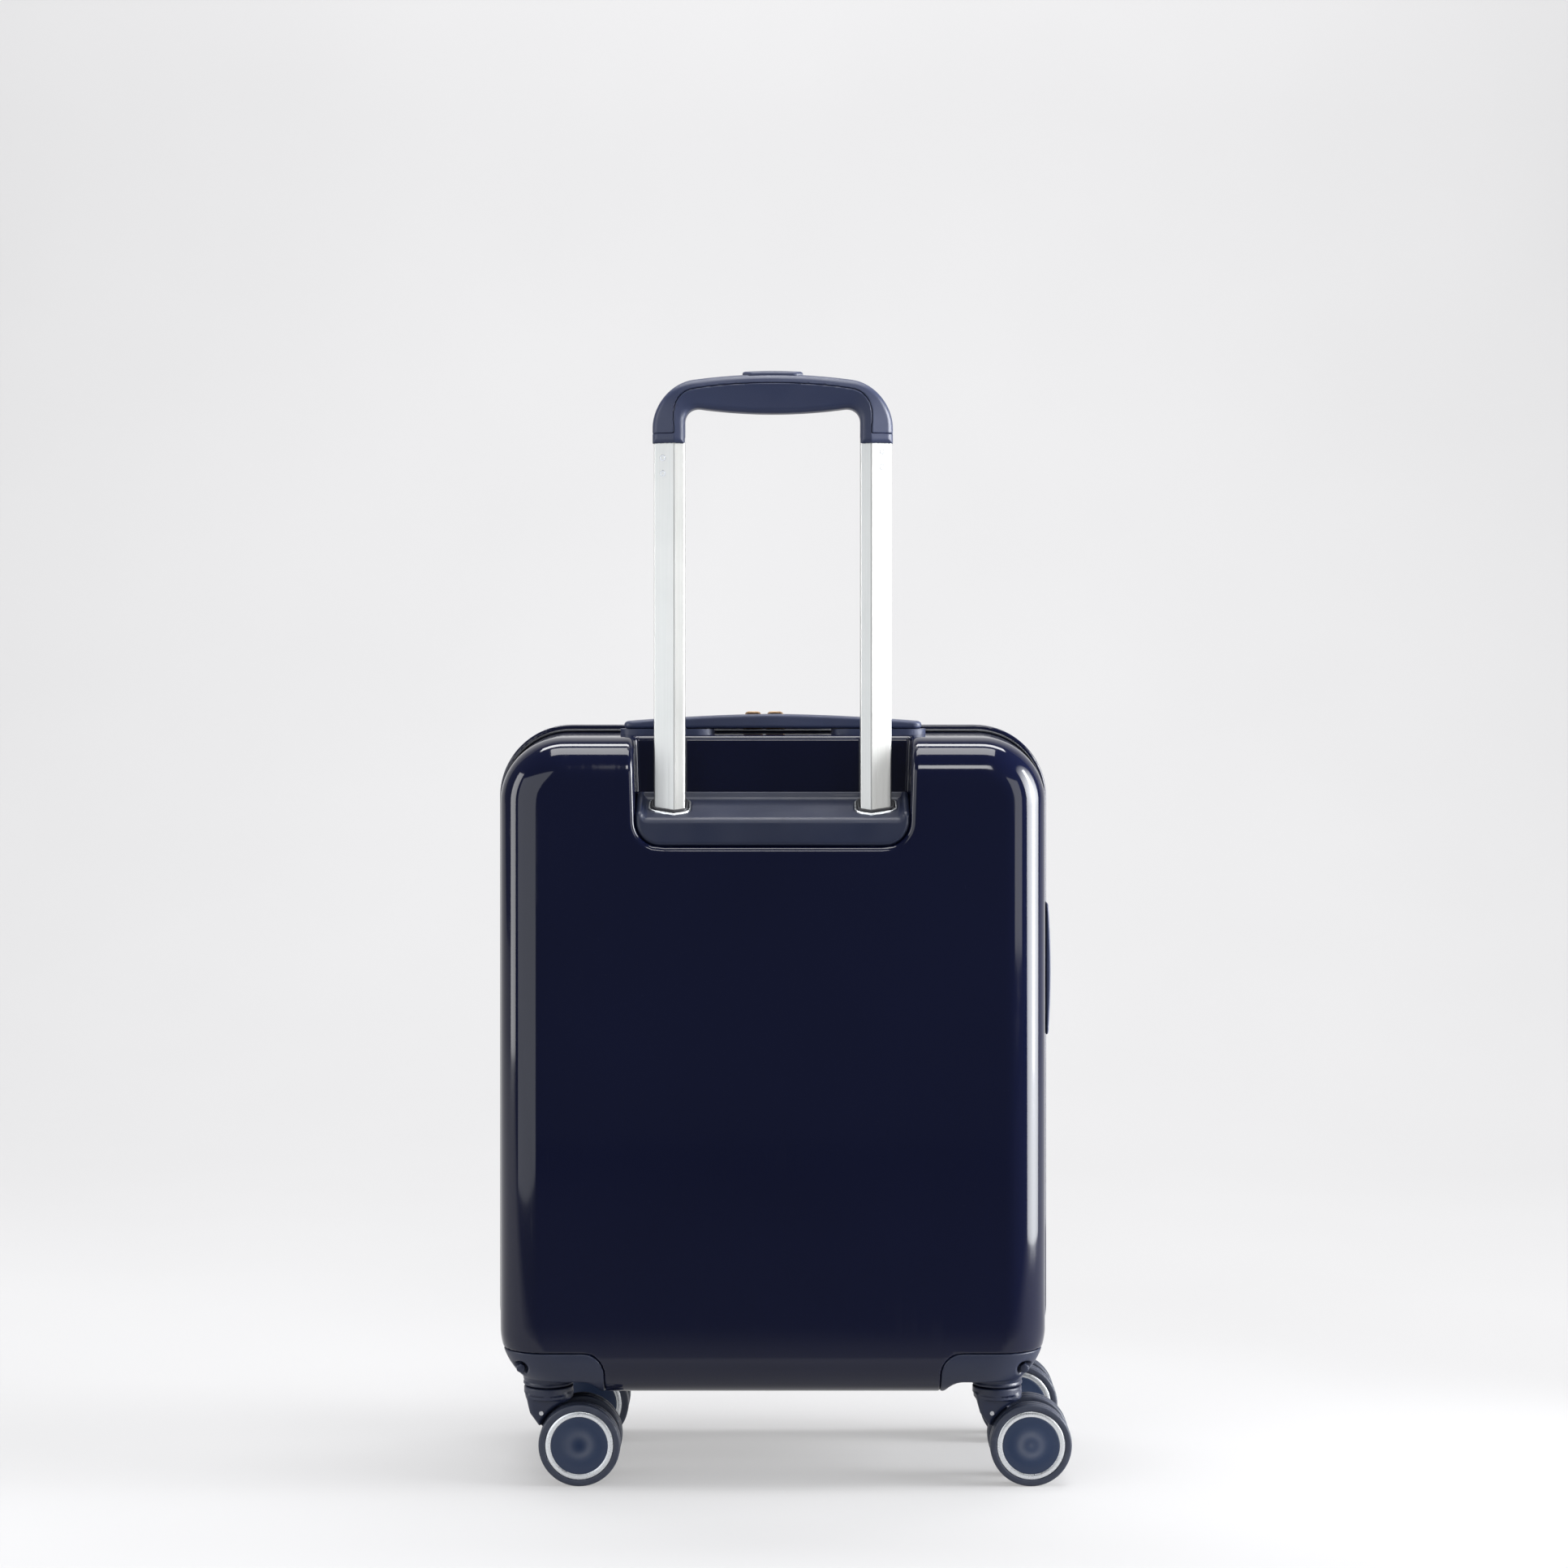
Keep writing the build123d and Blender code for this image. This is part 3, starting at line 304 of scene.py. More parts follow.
# %% Soft-touch finishes
def moulded(name, dark, light, roughness, grain=1400, depth=0.00006):
    finish = Finish(name, ior=1.45)
    cloud = finish.noise(18, 3)
    fine = finish.noise(grain, 2)
    finish.set("Base Color", finish.mix(finish.between(cloud * 0.6 + fine * 0.4, 0.3, 0.7), dark, light))
    finish.set("Roughness", finish.between(finish.noise(40, 3), 0.3, 0.7, roughness - 0.05, roughness + 0.07))
    finish.bump(fine, depth, 0.5)
    return finish.material


FINISHES["soft_touch"] = moulded("soft_touch", (0.014, 0.020, 0.052), (0.020, 0.028, 0.068), 0.46)
FINISHES["housing"] = moulded("housing", (0.006, 0.0095, 0.026), (0.009, 0.0135, 0.035), 0.42)
FINISHES["wheel_cap"] = moulded(
    "wheel_cap", (0.007, 0.0155, 0.042), (0.0105, 0.0215, 0.053), 0.38, 1800, 0.00003
)
FINISHES["dark_plastic"] = moulded("dark_plastic", (0.010, 0.011, 0.015), (0.016, 0.017, 0.022), 0.45)
print("made", sorted(FINISHES))

# %% [markdown]
# ## Metals
# The pull tubes are extruded aluminium with a satin anodised skin, so their fine die lines run
# lengthwise. The silver rings are plated plastic, and the zip's sliders and pulls are zinc castings
# plated to a bronze colour.

# %% Metal finishes
def brushed(name, dark, light, roughness, stretch, depth=0.00002, scale=900):
    finish = Finish(name, metallic=1.0)
    streak = finish.noise(scale, 2, stretch)
    cloud = finish.noise(25, 3)
    finish.set("Base Color", finish.mix(finish.between(streak * 0.5 + cloud * 0.5, 0.35, 0.65), dark, light))
    worn = finish.between(streak + cloud * 0.4, 0.45, 0.95, roughness - 0.05, roughness + 0.08)
    finish.set("Roughness", worn)
    finish.bump(streak, depth, 0.35)
    return finish.material


FINISHES["tube"] = brushed("tube", (0.46, 0.465, 0.455), (0.54, 0.54, 0.53), 0.42, (1, 1, 0.01))
FINISHES["silver_trim"] = brushed(
    "silver_trim", (0.62, 0.64, 0.66), (0.74, 0.76, 0.78), 0.3, (1, 1, 1), 0.000002
)
FINISHES["steel"] = brushed("steel", (0.42, 0.43, 0.45), (0.56, 0.57, 0.59), 0.28, (1, 1, 1))
FINISHES["bronze"] = brushed("bronze", (0.24, 0.155, 0.09), (0.38, 0.26, 0.16), 0.32, (1, 1, 1), 0.00003)
print("made", sorted(FINISHES))

# %% [markdown]
# ## Wheel rubber
# The treads are moulded polyurethane. Rolling wears them matt and picks up pale dust in the grain.

# %% Rubber finish
def rubber():
    finish = Finish("tread", ior=1.5)
    dust = finish.between(finish.noise(160, 4), 0.5, 0.75) * 0.25
    finish.set("Base Color", finish.mix(dust, (0.013, 0.018, 0.036), (0.045, 0.052, 0.075)))
    finish.set("Roughness", finish.between(finish.noise(300, 3), 0.3, 0.7, 0.42, 0.6))
    finish.bump(finish.noise(2200, 2), 0.00004, 0.4)
    return finish.material


FINISHES["tyre"] = rubber()

# %% [markdown]
# ## Cloth
# The lining is a plain-woven polyester. Two sets of threads cross, and the one on top changes from thread
# to thread, so the height is the product of two waves. The zip's tape is the same idea with a slanted,
# denser weave.

# %% Cloth finishes
def woven(name, dark, light, pitch, slant=0.0, sheen=0.3, depth=0.00012):
    finish = Finish(name, roughness=0.85, sheen_weight=sheen)
    x, y, z = (finish.node("ShaderNodeSeparateXYZ", inputs={0: finish.place}, output=i) for i in range(3))
    turn = 2 * np.pi / pitch
    sine = {"operation": "SINE"}
    warp = finish.node("ShaderNodeMath", sine, {0: (x + y) * turn + z * (slant * turn)})
    weft = finish.node("ShaderNodeMath", sine, {0: z * turn + (x + y) * (slant * turn)})
    height = warp * weft * 0.5 + 0.5
    cloud = finish.noise(30, 3)
    finish.set("Base Color", finish.mix(height * 0.6 + cloud * 0.4, dark, light))
    finish.set("Roughness", finish.between(height, 0.0, 1.0, 0.92, 0.75))
    finish.bump(height, depth, 0.6)
    return finish.material


FINISHES["lining"] = woven("lining", (0.030, 0.036, 0.055), (0.060, 0.070, 0.100), 0.0011)
FINISHES["zip_tape"] = woven("zip_tape", (0.004, 0.005, 0.010), (0.010, 0.012, 0.020), 0.0009, 0.5, 0.1)
print("made", sorted(FINISHES))

# %% [markdown]
# ## Surfaces from distance fields
# Moulded plastic is made of flats that meet in rounded edges. A distance field says how far any point is
# outside a shape, and two of them join with a true rounded edge in one short formula. The surface is then
# netted: every cell of a grid that the surface crosses gets one point, which is moved along the field's
# slope until the field is zero there. The slope also gives an exact normal for each point.

# %% Rounded joins and outlines
def rounded_both(a, b, radius):
    """The part inside both fields, its outer edge rounded: there the two distances add squared."""
    corner = np.hypot(np.maximum(a + radius, 0), np.maximum(b + radius, 0))
    return np.minimum(np.maximum(a, b), -radius) + corner


def rounded_either(a, b, radius):
    """The part inside either field, with a fillet of the radius where they meet."""
    return -rounded_both(-a, -b, radius)


def rounded_box(x, y, half_x, half_y, corner):
    """Distance to a rectangle with round corners, centred on the origin."""
    return rounded_both(np.abs(x) - half_x, np.abs(y) - half_y, corner)


def grid_lines(low, high, step, *zones):
    """Grid lines from low to high, step apart, or closer inside each zone (start, stop, closer step)."""
    place = np.linspace(low, high, 6001)
    spacing = np.full_like(place, step)
    for start, stop, closer in zones:
        within = (place >= start) & (place <= stop)
        spacing[within] = np.minimum(spacing[within], closer)
    count = np.concatenate([[0], np.cumsum(np.diff(place) * 2 / (spacing[1:] + spacing[:-1]))])
    return np.interp(np.linspace(0, count[-1], int(np.ceil(count[-1])) + 1), count, place)


# %% The netting
CORNERS = np.array([(i, j, k) for i in (0, 1) for j in (0, 1) for k in (0, 1)])
EDGES = [(a, b) for a in range(8) for b in range(a + 1, 8) if np.abs(CORNERS[a] - CORNERS[b]).sum() == 1]


def slope_of(field, points, step=0.02):
    """The field's value and slope at points, from central differences."""
    offsets = np.eye(3) * step
    sides = [field(*(points + o).T) - field(*(points - o).T) for o in offsets]
    return field(*points.T), np.stack(sides, 1) / (2 * step)


def net_surface(field, xs, ys, zs):
    """Points, quads and normals where the field is zero, one point for each grid cell that it crosses."""
    lines = (xs, ys, zs)
    value = field(*np.meshgrid(xs, ys, zs, indexing="ij"))
    inside = value < 0
    shape = tuple(n - 1 for n in value.shape)
    corner = [tuple(slice(o, o + n) for o, n in zip(c, shape)) for c in CORNERS]
    count = sum(inside[c].astype(np.int8) for c in corner)
    active = (count > 0) & (count < 8)
    number = np.full(shape, -1)
    number[active] = np.arange(active.sum())
    cells = np.stack(np.nonzero(active), 1)
    place = np.stack(
        [np.stack([line[cells[:, a] + c[a]] for a, line in enumerate(lines)], 1) for c in CORNERS]
    )
    level = np.stack([value[tuple((cells + c).T)] for c in CORNERS])
    total, hits = np.zeros((len(cells), 3)), np.zeros(len(cells))
    for a, b in EDGES:
        crosses = (level[a] < 0) != (level[b] < 0)
        share = np.where(crosses, level[a] / np.where(crosses, level[a] - level[b], 1), 0)
        total += np.where(crosses[:, None], place[a] + share[:, None] * (place[b] - place[a]), 0)
        hits += crosses
    points = total / hits[:, None]
    for _ in range(5):
        here, slope = slope_of(field, points)
        points = points - (here / np.maximum((slope**2).sum(1), 0.05))[:, None] * slope
        points = np.clip(points, place[0], place[7])
    quads = []
    for a in range(3):
        order = (a, (a + 1) % 3, (a + 2) % 3)
        low, index = np.transpose(inside, order), np.transpose(number, order)
        change = low[:-1, 1:-1, 1:-1] != low[1:, 1:-1, 1:-1]
        i, j, k = np.nonzero(change)
        j, k = j + 1, k + 1
        quad = np.stack([index[i, j - 1, k - 1], index[i, j, k - 1], index[i, j, k], index[i, j - 1, k]], 1)
        outward = low[i, j, k]
        quads.append(np.where(outward[:, None], quad, quad[:, ::-1]))
    normals = slope_of(field, points)[1]
    return points, np.concatenate(quads), normals / np.linalg.norm(normals, axis=1, keepdims=True)


def add_wall(points, quads, normals, thickness):
    """Close an open sheet into a thin wall: a second sheet set inwards, and strips along the open edges."""
    inner = points - normals * thickness
    start, stop = quads.ravel(), np.roll(quads, -1, axis=1).ravel()
    key, back = start * len(points) + stop, stop * len(points) + start
    rim = ~np.isin(key, back)
    a, b = start[rim], stop[rim]
    strips = np.stack([b, a, a + len(points), b + len(points)], 1)
    faces = np.concatenate([quads, quads[:, ::-1] + len(points), strips])
    return np.concatenate([points, inner]), faces


def place_piece(name, points, faces, body, finish, slot, replaced=(), normals=None):
    """Put a piece worked out in millimetres into the frame: metres, its body, finish and CAD nodes. slot is
    not used.
    """
    placed = np.asarray(points) * MM + (CASE_X, 0, 0)
    piece = new_mesh(name, placed, faces, normals)
    piece.data.materials.append(FINISHES[finish])
    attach(piece, body)
    if replaced:
        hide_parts(*replaced)
    print(name, "has", len(piece.data.polygons), "faces")
    return piece


def netted_piece(name, field, grid, body, finish, slot, replaced):
    """Net a field's surface on a grid and place it as a closed piece."""
    points, quads, normals = net_surface(field, *grid)
    place_piece(name, points, quads, body, finish, slot, (replaced,), normals)


def walled_piece(name, sheet, thickness, body, finish, *replaced):
    """Give a netted open sheet its wall and place it as a piece."""
    points, quads, normals = sheet
    points, faces = add_wall(points, quads, normals, thickness)
    both = np.concatenate([normals, -normals])
    return place_piece(name, points, faces, body, finish, finish, replaced, both)


def both_sides(lines):
    """Grid lines that start at 0, carried on to the other side as a mirror image."""
    return np.concatenate([-lines[:0:-1], lines])


# %% [markdown]
# ## Case shells
# Each half is a pan: a rounded outline, walls that lean in by two degrees so that it leaves its mould,
# and a large fillet into the flat outer face. The back half also has the handle pocket pressed into it,
# open at the top, and both halves give way to the wheel housings at the bottom corners.

# %% Shell fields
RIM_OUT, SHELL_CORNER, SHELL_DRAFT, FACE_FILLET, WALL = 4.6, 48.0, 2.0, 28.0, 2.2
BACK_EDGE, FRONT_EDGE = -14.0, -8.0
SHELL_HALF_WIDTH = RIM_HALF_WIDTH - RIM_OUT
SHELL_HALF_HEIGHT = (RIM_TOP - RIM_BOTTOM) / 2 - RIM_OUT
POCKET_DEEP_Y, POCKET_FLOOR, POCKET_CORNER = -58.0, 454.5, 17.0
POCKET_HALF_WIDTH, POCKET_WIDENS, POCKET_HEIGHT = 96.0, 3.5, 105.5
HOUSING_INNER_X, HOUSING_TOP, HOUSING_NEAR_Y = 118.4, 98.4, 24.0


def half_field(x, y, z, edge_y, face_y):
    """Distance to one half of the case: a drafted rounded outline met by the flat outer face."""
    lean = np.tan(np.radians(SHELL_DRAFT)) * np.abs(y - edge_y)
    half_x, half_z = SHELL_HALF_WIDTH - lean, SHELL_HALF_HEIGHT - lean
    side = rounded_box(x, z - CASE_Z, half_x, half_z, SHELL_CORNER - lean)
    outward = 1 if face_y > 0 else -1
    return rounded_both(side, outward * y - abs(face_y), FACE_FILLET)


def pocket_half(z):
    """Half the pocket's width, which grows evenly from its floor to its top."""
    return POCKET_HALF_WIDTH + (z - POCKET_FLOOR) * POCKET_WIDENS / POCKET_HEIGHT


def pocket_field(x, y, z):
    """Distance to the handle pocket's space: a U with a round-cornered floor, wider towards the top."""
    upright = rounded_both(np.abs(x) - pocket_half(z), POCKET_FLOOR - z, POCKET_CORNER)
    return rounded_both(upright, y - POCKET_DEEP_Y, 3)


def corner_field(x, y, z, end):
    """Distance to the two bottom corners of one half, which the wheel housings fill."""
    upright = rounded_both(HOUSING_INNER_X - np.abs(x), z - HOUSING_TOP, 15)
    return rounded_both(upright, HOUSING_NEAR_Y - end * y, 6)


SEAM = 0.2


def back_field(x, y, z):
    body = half_field(x, y, z, BACK_EDGE, BACK_FACE)
    body = rounded_both(body, -pocket_field(x, y, z), 4.5)
    return rounded_both(body, SEAM - corner_field(x, y, z, -1), 1.2)


# %% Back shell
xs = both_sides(grid_lines(0, 200, 9, (88, 106, 1.3), (113, 123, 1.3), (150, 200, 3.2)))
ys = grid_lines(-101, BACK_EDGE, 7, (-101, -70, 2.6), (-66, -54, 1.5), (-30, -20, 1.5), (-101, -94, 1.4))
ys = np.append(ys, BACK_EDGE + 0.02)
zs = grid_lines(60, 534, 9, (60, 112, 3.2), (94, 104, 1.3), (448, 480, 2.2), (486, 534, 3.0))
sheet = net_surface(back_field, xs, ys, zs)
walled_piece("back_shell_skin", sheet, WALL, "back_half", "gloss_shell", "back_shell")

# %% Front shell with its rim bead
RIM_BACK, RIM_FRONT = -3.0, 4.0


def front_field(x, y, z):
    body = half_field(x, y, z, FRONT_EDGE, FRONT_FACE)
    body = rounded_both(body, SEAM - corner_field(x, y, z, 1), 1.2)
    half_x, half_z = SHELL_HALF_WIDTH + RIM_OUT, SHELL_HALF_HEIGHT + RIM_OUT
    rim = rounded_box(x, z - CASE_Z, half_x, half_z, SHELL_CORNER + RIM_OUT)
    middle, half = (RIM_BACK + RIM_FRONT) / 2, (RIM_FRONT - RIM_BACK) / 2
    bead = rounded_both(rim, np.abs(y - middle) - half, 1.6)
    return rounded_either(body, bead, 1.0)


xs = both_sides(grid_lines(0, 201, 10, (113, 123, 1.3), (150, 194, 3.2), (194, 201, 1.3)))
ys = grid_lines(FRONT_EDGE, 101, 8, (FRONT_EDGE, 6.5, 0.9), (18, 32, 1.6), (70, 101, 2.6), (94, 101, 1.5))
ys = np.concatenate([[FRONT_EDGE - 0.02], ys])
zs = grid_lines(59, 538, 10, (59, 112, 3.2), (59, 67, 1.3), (94, 104, 1.3), (486, 538, 3.0), (530, 538, 1.3))
sheet = net_surface(front_field, xs, ys, zs)
walled_piece("front_shell_skin", sheet, WALL, "front_half", "gloss_shell", "front_shell", "rim_bead")

# %% [markdown]
# ## Wheel housings
# A housing caps each bottom corner flush with the shell. Under it a narrow foot stands inboard, and a
# hollow arch runs from the foot to the round neck that the caster turns under. The neck grows out of the
# cap with a fillet, and a dish in the outer cheek holds the bolt.

# %% Wheel housings
SWIVEL_X, SWIVEL_Y = 160.0, 60.0
NECK_RADIUS = 18.0
FOOT_X, ARCH_Z, ARCH_ROUND = 121.5, 76.5, 13.0
BOLT_X, BOLT_Z, BOLT_SEAT_Y, DISH_RADIUS = 177.5, 86.0, 84.0, 5.2


def housing_field(x, y, z, edge_y, face_y):
    end = 1 if face_y > 0 else -1
    across, deep = np.abs(x), end * y
    body = half_field(x, y, z, edge_y, face_y)
    body = rounded_both(body, corner_field(x, y, z, end) + 0.1, 1.2)
    tunnel = rounded_both(FOOT_X - across, z - ARCH_Z, ARCH_ROUND)
    body = rounded_both(body, -tunnel, 1.6)
    from_pin = np.hypot(across - SWIVEL_X, deep - SWIVEL_Y)
    groove = 0.5 * np.exp(-(((z - 71.8) / 0.8) ** 2))
    neck = rounded_both(from_pin - NECK_RADIUS + groove, np.abs(z - 78) - 9, 1.0)
    body = rounded_either(body, neck, 5.0)
    from_bolt = np.hypot(across - BOLT_X, z - BOLT_Z)
    dish = rounded_both(from_bolt - DISH_RADIUS, BOLT_SEAT_Y - deep, 1.5)
    return rounded_both(body, -dish, 2.0)


for half, edge_y, face_y in (("back", BACK_EDGE, BACK_FACE), ("front", FRONT_EDGE, FRONT_FACE)):
    def field(x, y, z):
        return housing_field(x, y, z, edge_y, face_y)

    for word, side in (("left", -1), ("right", 1)):
        outward = 1 if face_y > 0 else -1
        xs = side * grid_lines(116, 196, 1.7, (116, 124, 1.0), (168, 186, 1.1))
        ys = outward * grid_lines(22, 101, 2.0, (22, 26, 1.0), (80, 95, 1.2))
        zs = grid_lines(59, 100, 1.5, (60, 72, 1.0), (70, 73, 0.5), (96, 100, 0.8))
        name, grid = f"housing_{half}_{word}", (np.sort(xs), np.sort(ys), zs)
        netted_piece(f"{name}_skin", field, grid, f"{half}_half", "housing", "soft_touch", name)

# %% Housing bolts
def bolt_field(u, v, w):
    """A bolt head on its seat: a low rounded hexagon. v runs out of the housing."""
    faces = [np.abs(u * np.cos(a) + w * np.sin(a)) - 3.1 for a in np.radians((0, 60, 120))]
    sides = rounded_both(rounded_both(faces[0], faces[1], 0.9), faces[2], 0.9)
    return rounded_both(sides, np.abs(v) - 5.6 + 0.05 * (u**2 + w**2), 0.9)


bolt_grid = (grid_lines(-4, 4, 0.4), grid_lines(-6, 6, 0.4), grid_lines(-4, 4, 0.4))
bolt_points, bolt_quads, bolt_normals = net_surface(bolt_field, *bolt_grid)
for half, end in (("back", -1), ("front", 1)):
    flip = np.array([1, end, 1])
    seats = [np.array([side * BOLT_X, end * BOLT_SEAT_Y, BOLT_Z]) for side in (-1, 1)]
    heads = np.concatenate([bolt_points * flip + seat for seat in seats])
    one = bolt_quads if end > 0 else bolt_quads[:, ::-1]
    place_piece(
        f"{half}_bolt_heads", heads, np.concatenate([one, one + len(bolt_points)]), f"{half}_half", "housing",
        "steel", (f"{half}_housing_bolts",), np.tile(bolt_normals * flip, (2, 1)),
    )

# %% [markdown]
# ## Tray and tube bezels
# The tray is the moulding at the bottom of the pocket. Its top slopes down to a rounded front lip so that
# rain and crumbs run out, and it turns up along the back and the sides. Each pull tube rises through a
# silver ring that lies on that slope, with a dark collar between the ring and the tube.

# %% Tube section as a field
TUBE_X, TUBE_Y, TUBE_HALF_WIDTH, TUBE_HALF_DEPTH, RIDGE = 73.0, -78.0, 11.0, 9.0, -3.3
TRAY_SLOPE, TRAY_AT_TUBE = np.radians(19), 480.9


def facet(u, v, start, stop):
    """Distance outside the straight edge from start to stop, whose outer side is on its right."""
    along = np.array(stop) - np.array(start)
    along = along / np.hypot(*along)
    return (u - start[0]) * along[1] - (v - start[1]) * along[0]


def tube_field(x, y, grow):
    """Distance to both pull tubes' outline: flat in front and gabled behind, grown by a margin."""
    u, v = np.abs(x) - TUBE_X, y - TUBE_Y
    box = rounded_both(np.abs(u) - TUBE_HALF_WIDTH, v - TUBE_HALF_DEPTH, 1.6)
    ridge = (RIDGE, -TUBE_HALF_DEPTH)
    right, left = (TUBE_HALF_WIDTH, -3.5), (-TUBE_HALF_WIDTH, -6.35)
    gable = np.maximum(facet(u, v, ridge, right), facet(u, v, left, ridge))
    return rounded_both(box, gable, 1.6) - grow


def slope_field(y, z):
    """Height above the tray's sloped top, measured square to it."""
    return (z - TRAY_AT_TUBE) * np.cos(TRAY_SLOPE) - (y - TUBE_Y) * np.sin(TRAY_SLOPE)


# %% Tray
def tray_field(x, y, z):
    top = slope_field(y, z)
    half = pocket_half(z) - 0.3
    outline = rounded_both(np.abs(x) - half, POCKET_FLOOR + 0.2 - z, POCKET_CORNER)
    outline = rounded_both(outline, np.abs(y + 78.5) - 20.3, 3.0)
    edge = np.maximum(np.abs(x) - half + 5, y - POCKET_DEEP_Y + 4)
    upstand = rounded_both(-edge, top - 4.0, 1.6)
    body = rounded_either(top, upstand, 3.5)
    body = rounded_both(body, outline, 3.2)
    return rounded_both(body, -tube_field(x, y, 4.2), 0.6)


xs = both_sides(grid_lines(0, 99, 5, (54, 93, 1.6), (86, 99, 1.2)))
ys = grid_lines(-100, -57, 1.5)
zs = grid_lines(453, 494, 1.5, (453, 458, 1.2), (468, 494, 1.0))
netted_piece("tray", tray_field, (xs, ys, zs), "back_half", "housing", "soft_touch", "trolley_housing")


# %% Bezels and collars
def bezel_field(x, y, z):
    ring = rounded_both(tube_field(x, y, 4.1), -tube_field(x, y, 2.6), 0.5)
    return rounded_both(ring, np.abs(slope_field(y, z) + 1.9) - 2.6, 0.5)


def collar_field(x, y, z):
    ring = rounded_both(tube_field(x, y, 2.2), -tube_field(x, y, 0.25), 0.5)
    return rounded_both(ring, np.abs(slope_field(y, z) + 6.0) - 8.0, 0.6)


for word, side in (("left", -1), ("right", 1)):
    xs = np.sort(side * grid_lines(55, 91, 0.75))
    ys = grid_lines(-93.5, -62, 0.75)
    grid = (xs, ys, grid_lines(470, 492, 0.75))
    netted_piece(f"bezel_{word}", bezel_field, grid, "back_half", "silver_trim", "silver_trim", "tube_bezels")
    grid = (xs, ys, grid_lines(462, 492, 0.8))
    netted_piece(
        f"collar_{word}", collar_field, grid, "mid_tubes", "dark_plastic", "dark_plastic", "mid_tube_collars"
    )

# %% [markdown]
# ## Grip
# The grip is an arch over the two tubes. Its back carries on the tubes' ridge: the ridge runs up the
# legs, round the corners and along the bar near its top, and it is also the seam between the outer cover
# and the inner body. The bar is thickest in the middle, where the fingers close round it.

# %% Grip fields
GRIP_HALF_WIDTH, GRIP_BOTTOM, GRIP_CROWN, GRIP_ROUND = 85.0, 738.0, 787.0, 29.0
GRIP_HALF_DEPTH, GRIP_GAP_X, GRIP_UNDERSIDE, COLLAR_TOP = 12.8, 62.0, 759.3, 745.2
BUTTON_HALF_LENGTH, BUTTON_HALF_DEPTH, BUTTON_TOP = 21.4, 8.0, 789.9


def grip_depth(x, z):
    """How far inside the grip's outer outline a place is, and how far inside it the ridge runs there."""
    crown = GRIP_CROWN - 0.00122 * x**2
    outer = rounded_both(np.abs(x) - GRIP_HALF_WIDTH, z - crown, GRIP_ROUND)
    rise = np.clip((z - 750) / 30, 0, 1)
    ridge = 15.3 - 9.0 * rise**2 * (3 - 2 * rise)
    return outer, ridge


def grip_field(x, y, z):
    outer, ridge = grip_depth(x, z)
    gap = rounded_both(np.abs(x) - GRIP_GAP_X, z - GRIP_UNDERSIDE - 3.6 * (x / 52) ** 2, 11)
    ring = rounded_both(rounded_both(outer, -gap, 3.0), GRIP_BOTTOM - z, 0.8)
    inward = -outer - ridge
    facets = np.where(inward < 0, -inward * 0.384, inward * 0.22)
    back = (-(y - TUBE_Y) - GRIP_HALF_DEPTH + facets) * 0.94
    front = (y - TUBE_Y) - GRIP_HALF_DEPTH + 0.3
    return rounded_both(rounded_both(ring, back, 4.0), front, 6.0)


def grip_cover_field(x, y, z):
    outer, ridge = grip_depth(x, z)
    cover = rounded_both(grip_field(x, y, z), -outer - ridge + 0.12, 0.6)
    cover = rounded_both(cover, COLLAR_TOP + 0.15 - z, 0.5)
    slot_half = BUTTON_HALF_LENGTH + 0.5 - 0.9 * np.maximum(np.abs(y - TUBE_Y) - 2, 0)
    slot = np.maximum(np.abs(x) - slot_half, np.abs(y - TUBE_Y) - BUTTON_HALF_DEPTH - 0.5)
    slot = np.maximum(slot, 779 - z)
    return rounded_both(cover, -slot, 0.7)


def grip_body_field(x, y, z):
    outer, ridge = grip_depth(x, z)
    whole = grip_field(x, y, z)
    inner = rounded_both(whole, outer + ridge + 0.12, 0.6)
    socket = np.minimum(inner, rounded_both(whole, z - COLLAR_TOP, 0.5))
    return rounded_both(socket, -rounded_both(tube_field(x, y, 0.1), z - 742, 0.2), 0.3)


def button_field(x, y, z):
    length = BUTTON_HALF_LENGTH - 0.9 * np.maximum(np.abs(y - TUBE_Y) - 2, 0)
    sides = rounded_both((np.abs(x) - length) * 0.75, np.abs(y - TUBE_Y) - BUTTON_HALF_DEPTH, 1.5)
    dome = z - BUTTON_TOP + 0.0016 * x**2 + 0.02 * (y - TUBE_Y) ** 2
    return rounded_both(rounded_both(sides, dome, 1.6), 776.5 - z, 1.0)


# %% Grip pieces
xs = both_sides(grid_lines(0, 86.5, 1.5, (52, 86.5, 1.0), (18, 26, 1.0)))
ys = grid_lines(-92, -64.5, 1.1)
zs = grid_lines(737, 789, 1.0, (743, 747, 0.6))
for name, field in (("grip_cover", grip_cover_field), ("grip_body", grip_body_field)):
    netted_piece(f"{name}_skin", field, (xs, ys, zs), "pull_handle", "soft_touch", "soft_touch", name)
grid = (grid_lines(-23, 23, 0.8), grid_lines(-87.5, -68.5, 0.8), grid_lines(775.5, 791, 0.7))
netted_piece("release_button", button_field, grid, "release", "soft_touch", "soft_touch", "grip_button")

# %% [markdown]
# ## Carry handles
# The top handle is a springy moulded arch that lies almost flat on the shell. Its two ends are wider and
# sit on base plates. The side handle is the same shape turned on its side.

# %% Carry handles
CARRY_Y, CARRY_HALF_LENGTH = -35.0, 107.0
SIDE_HANDLE_Z, SIDE_HANDLE_HALF = 362.5, 47.5


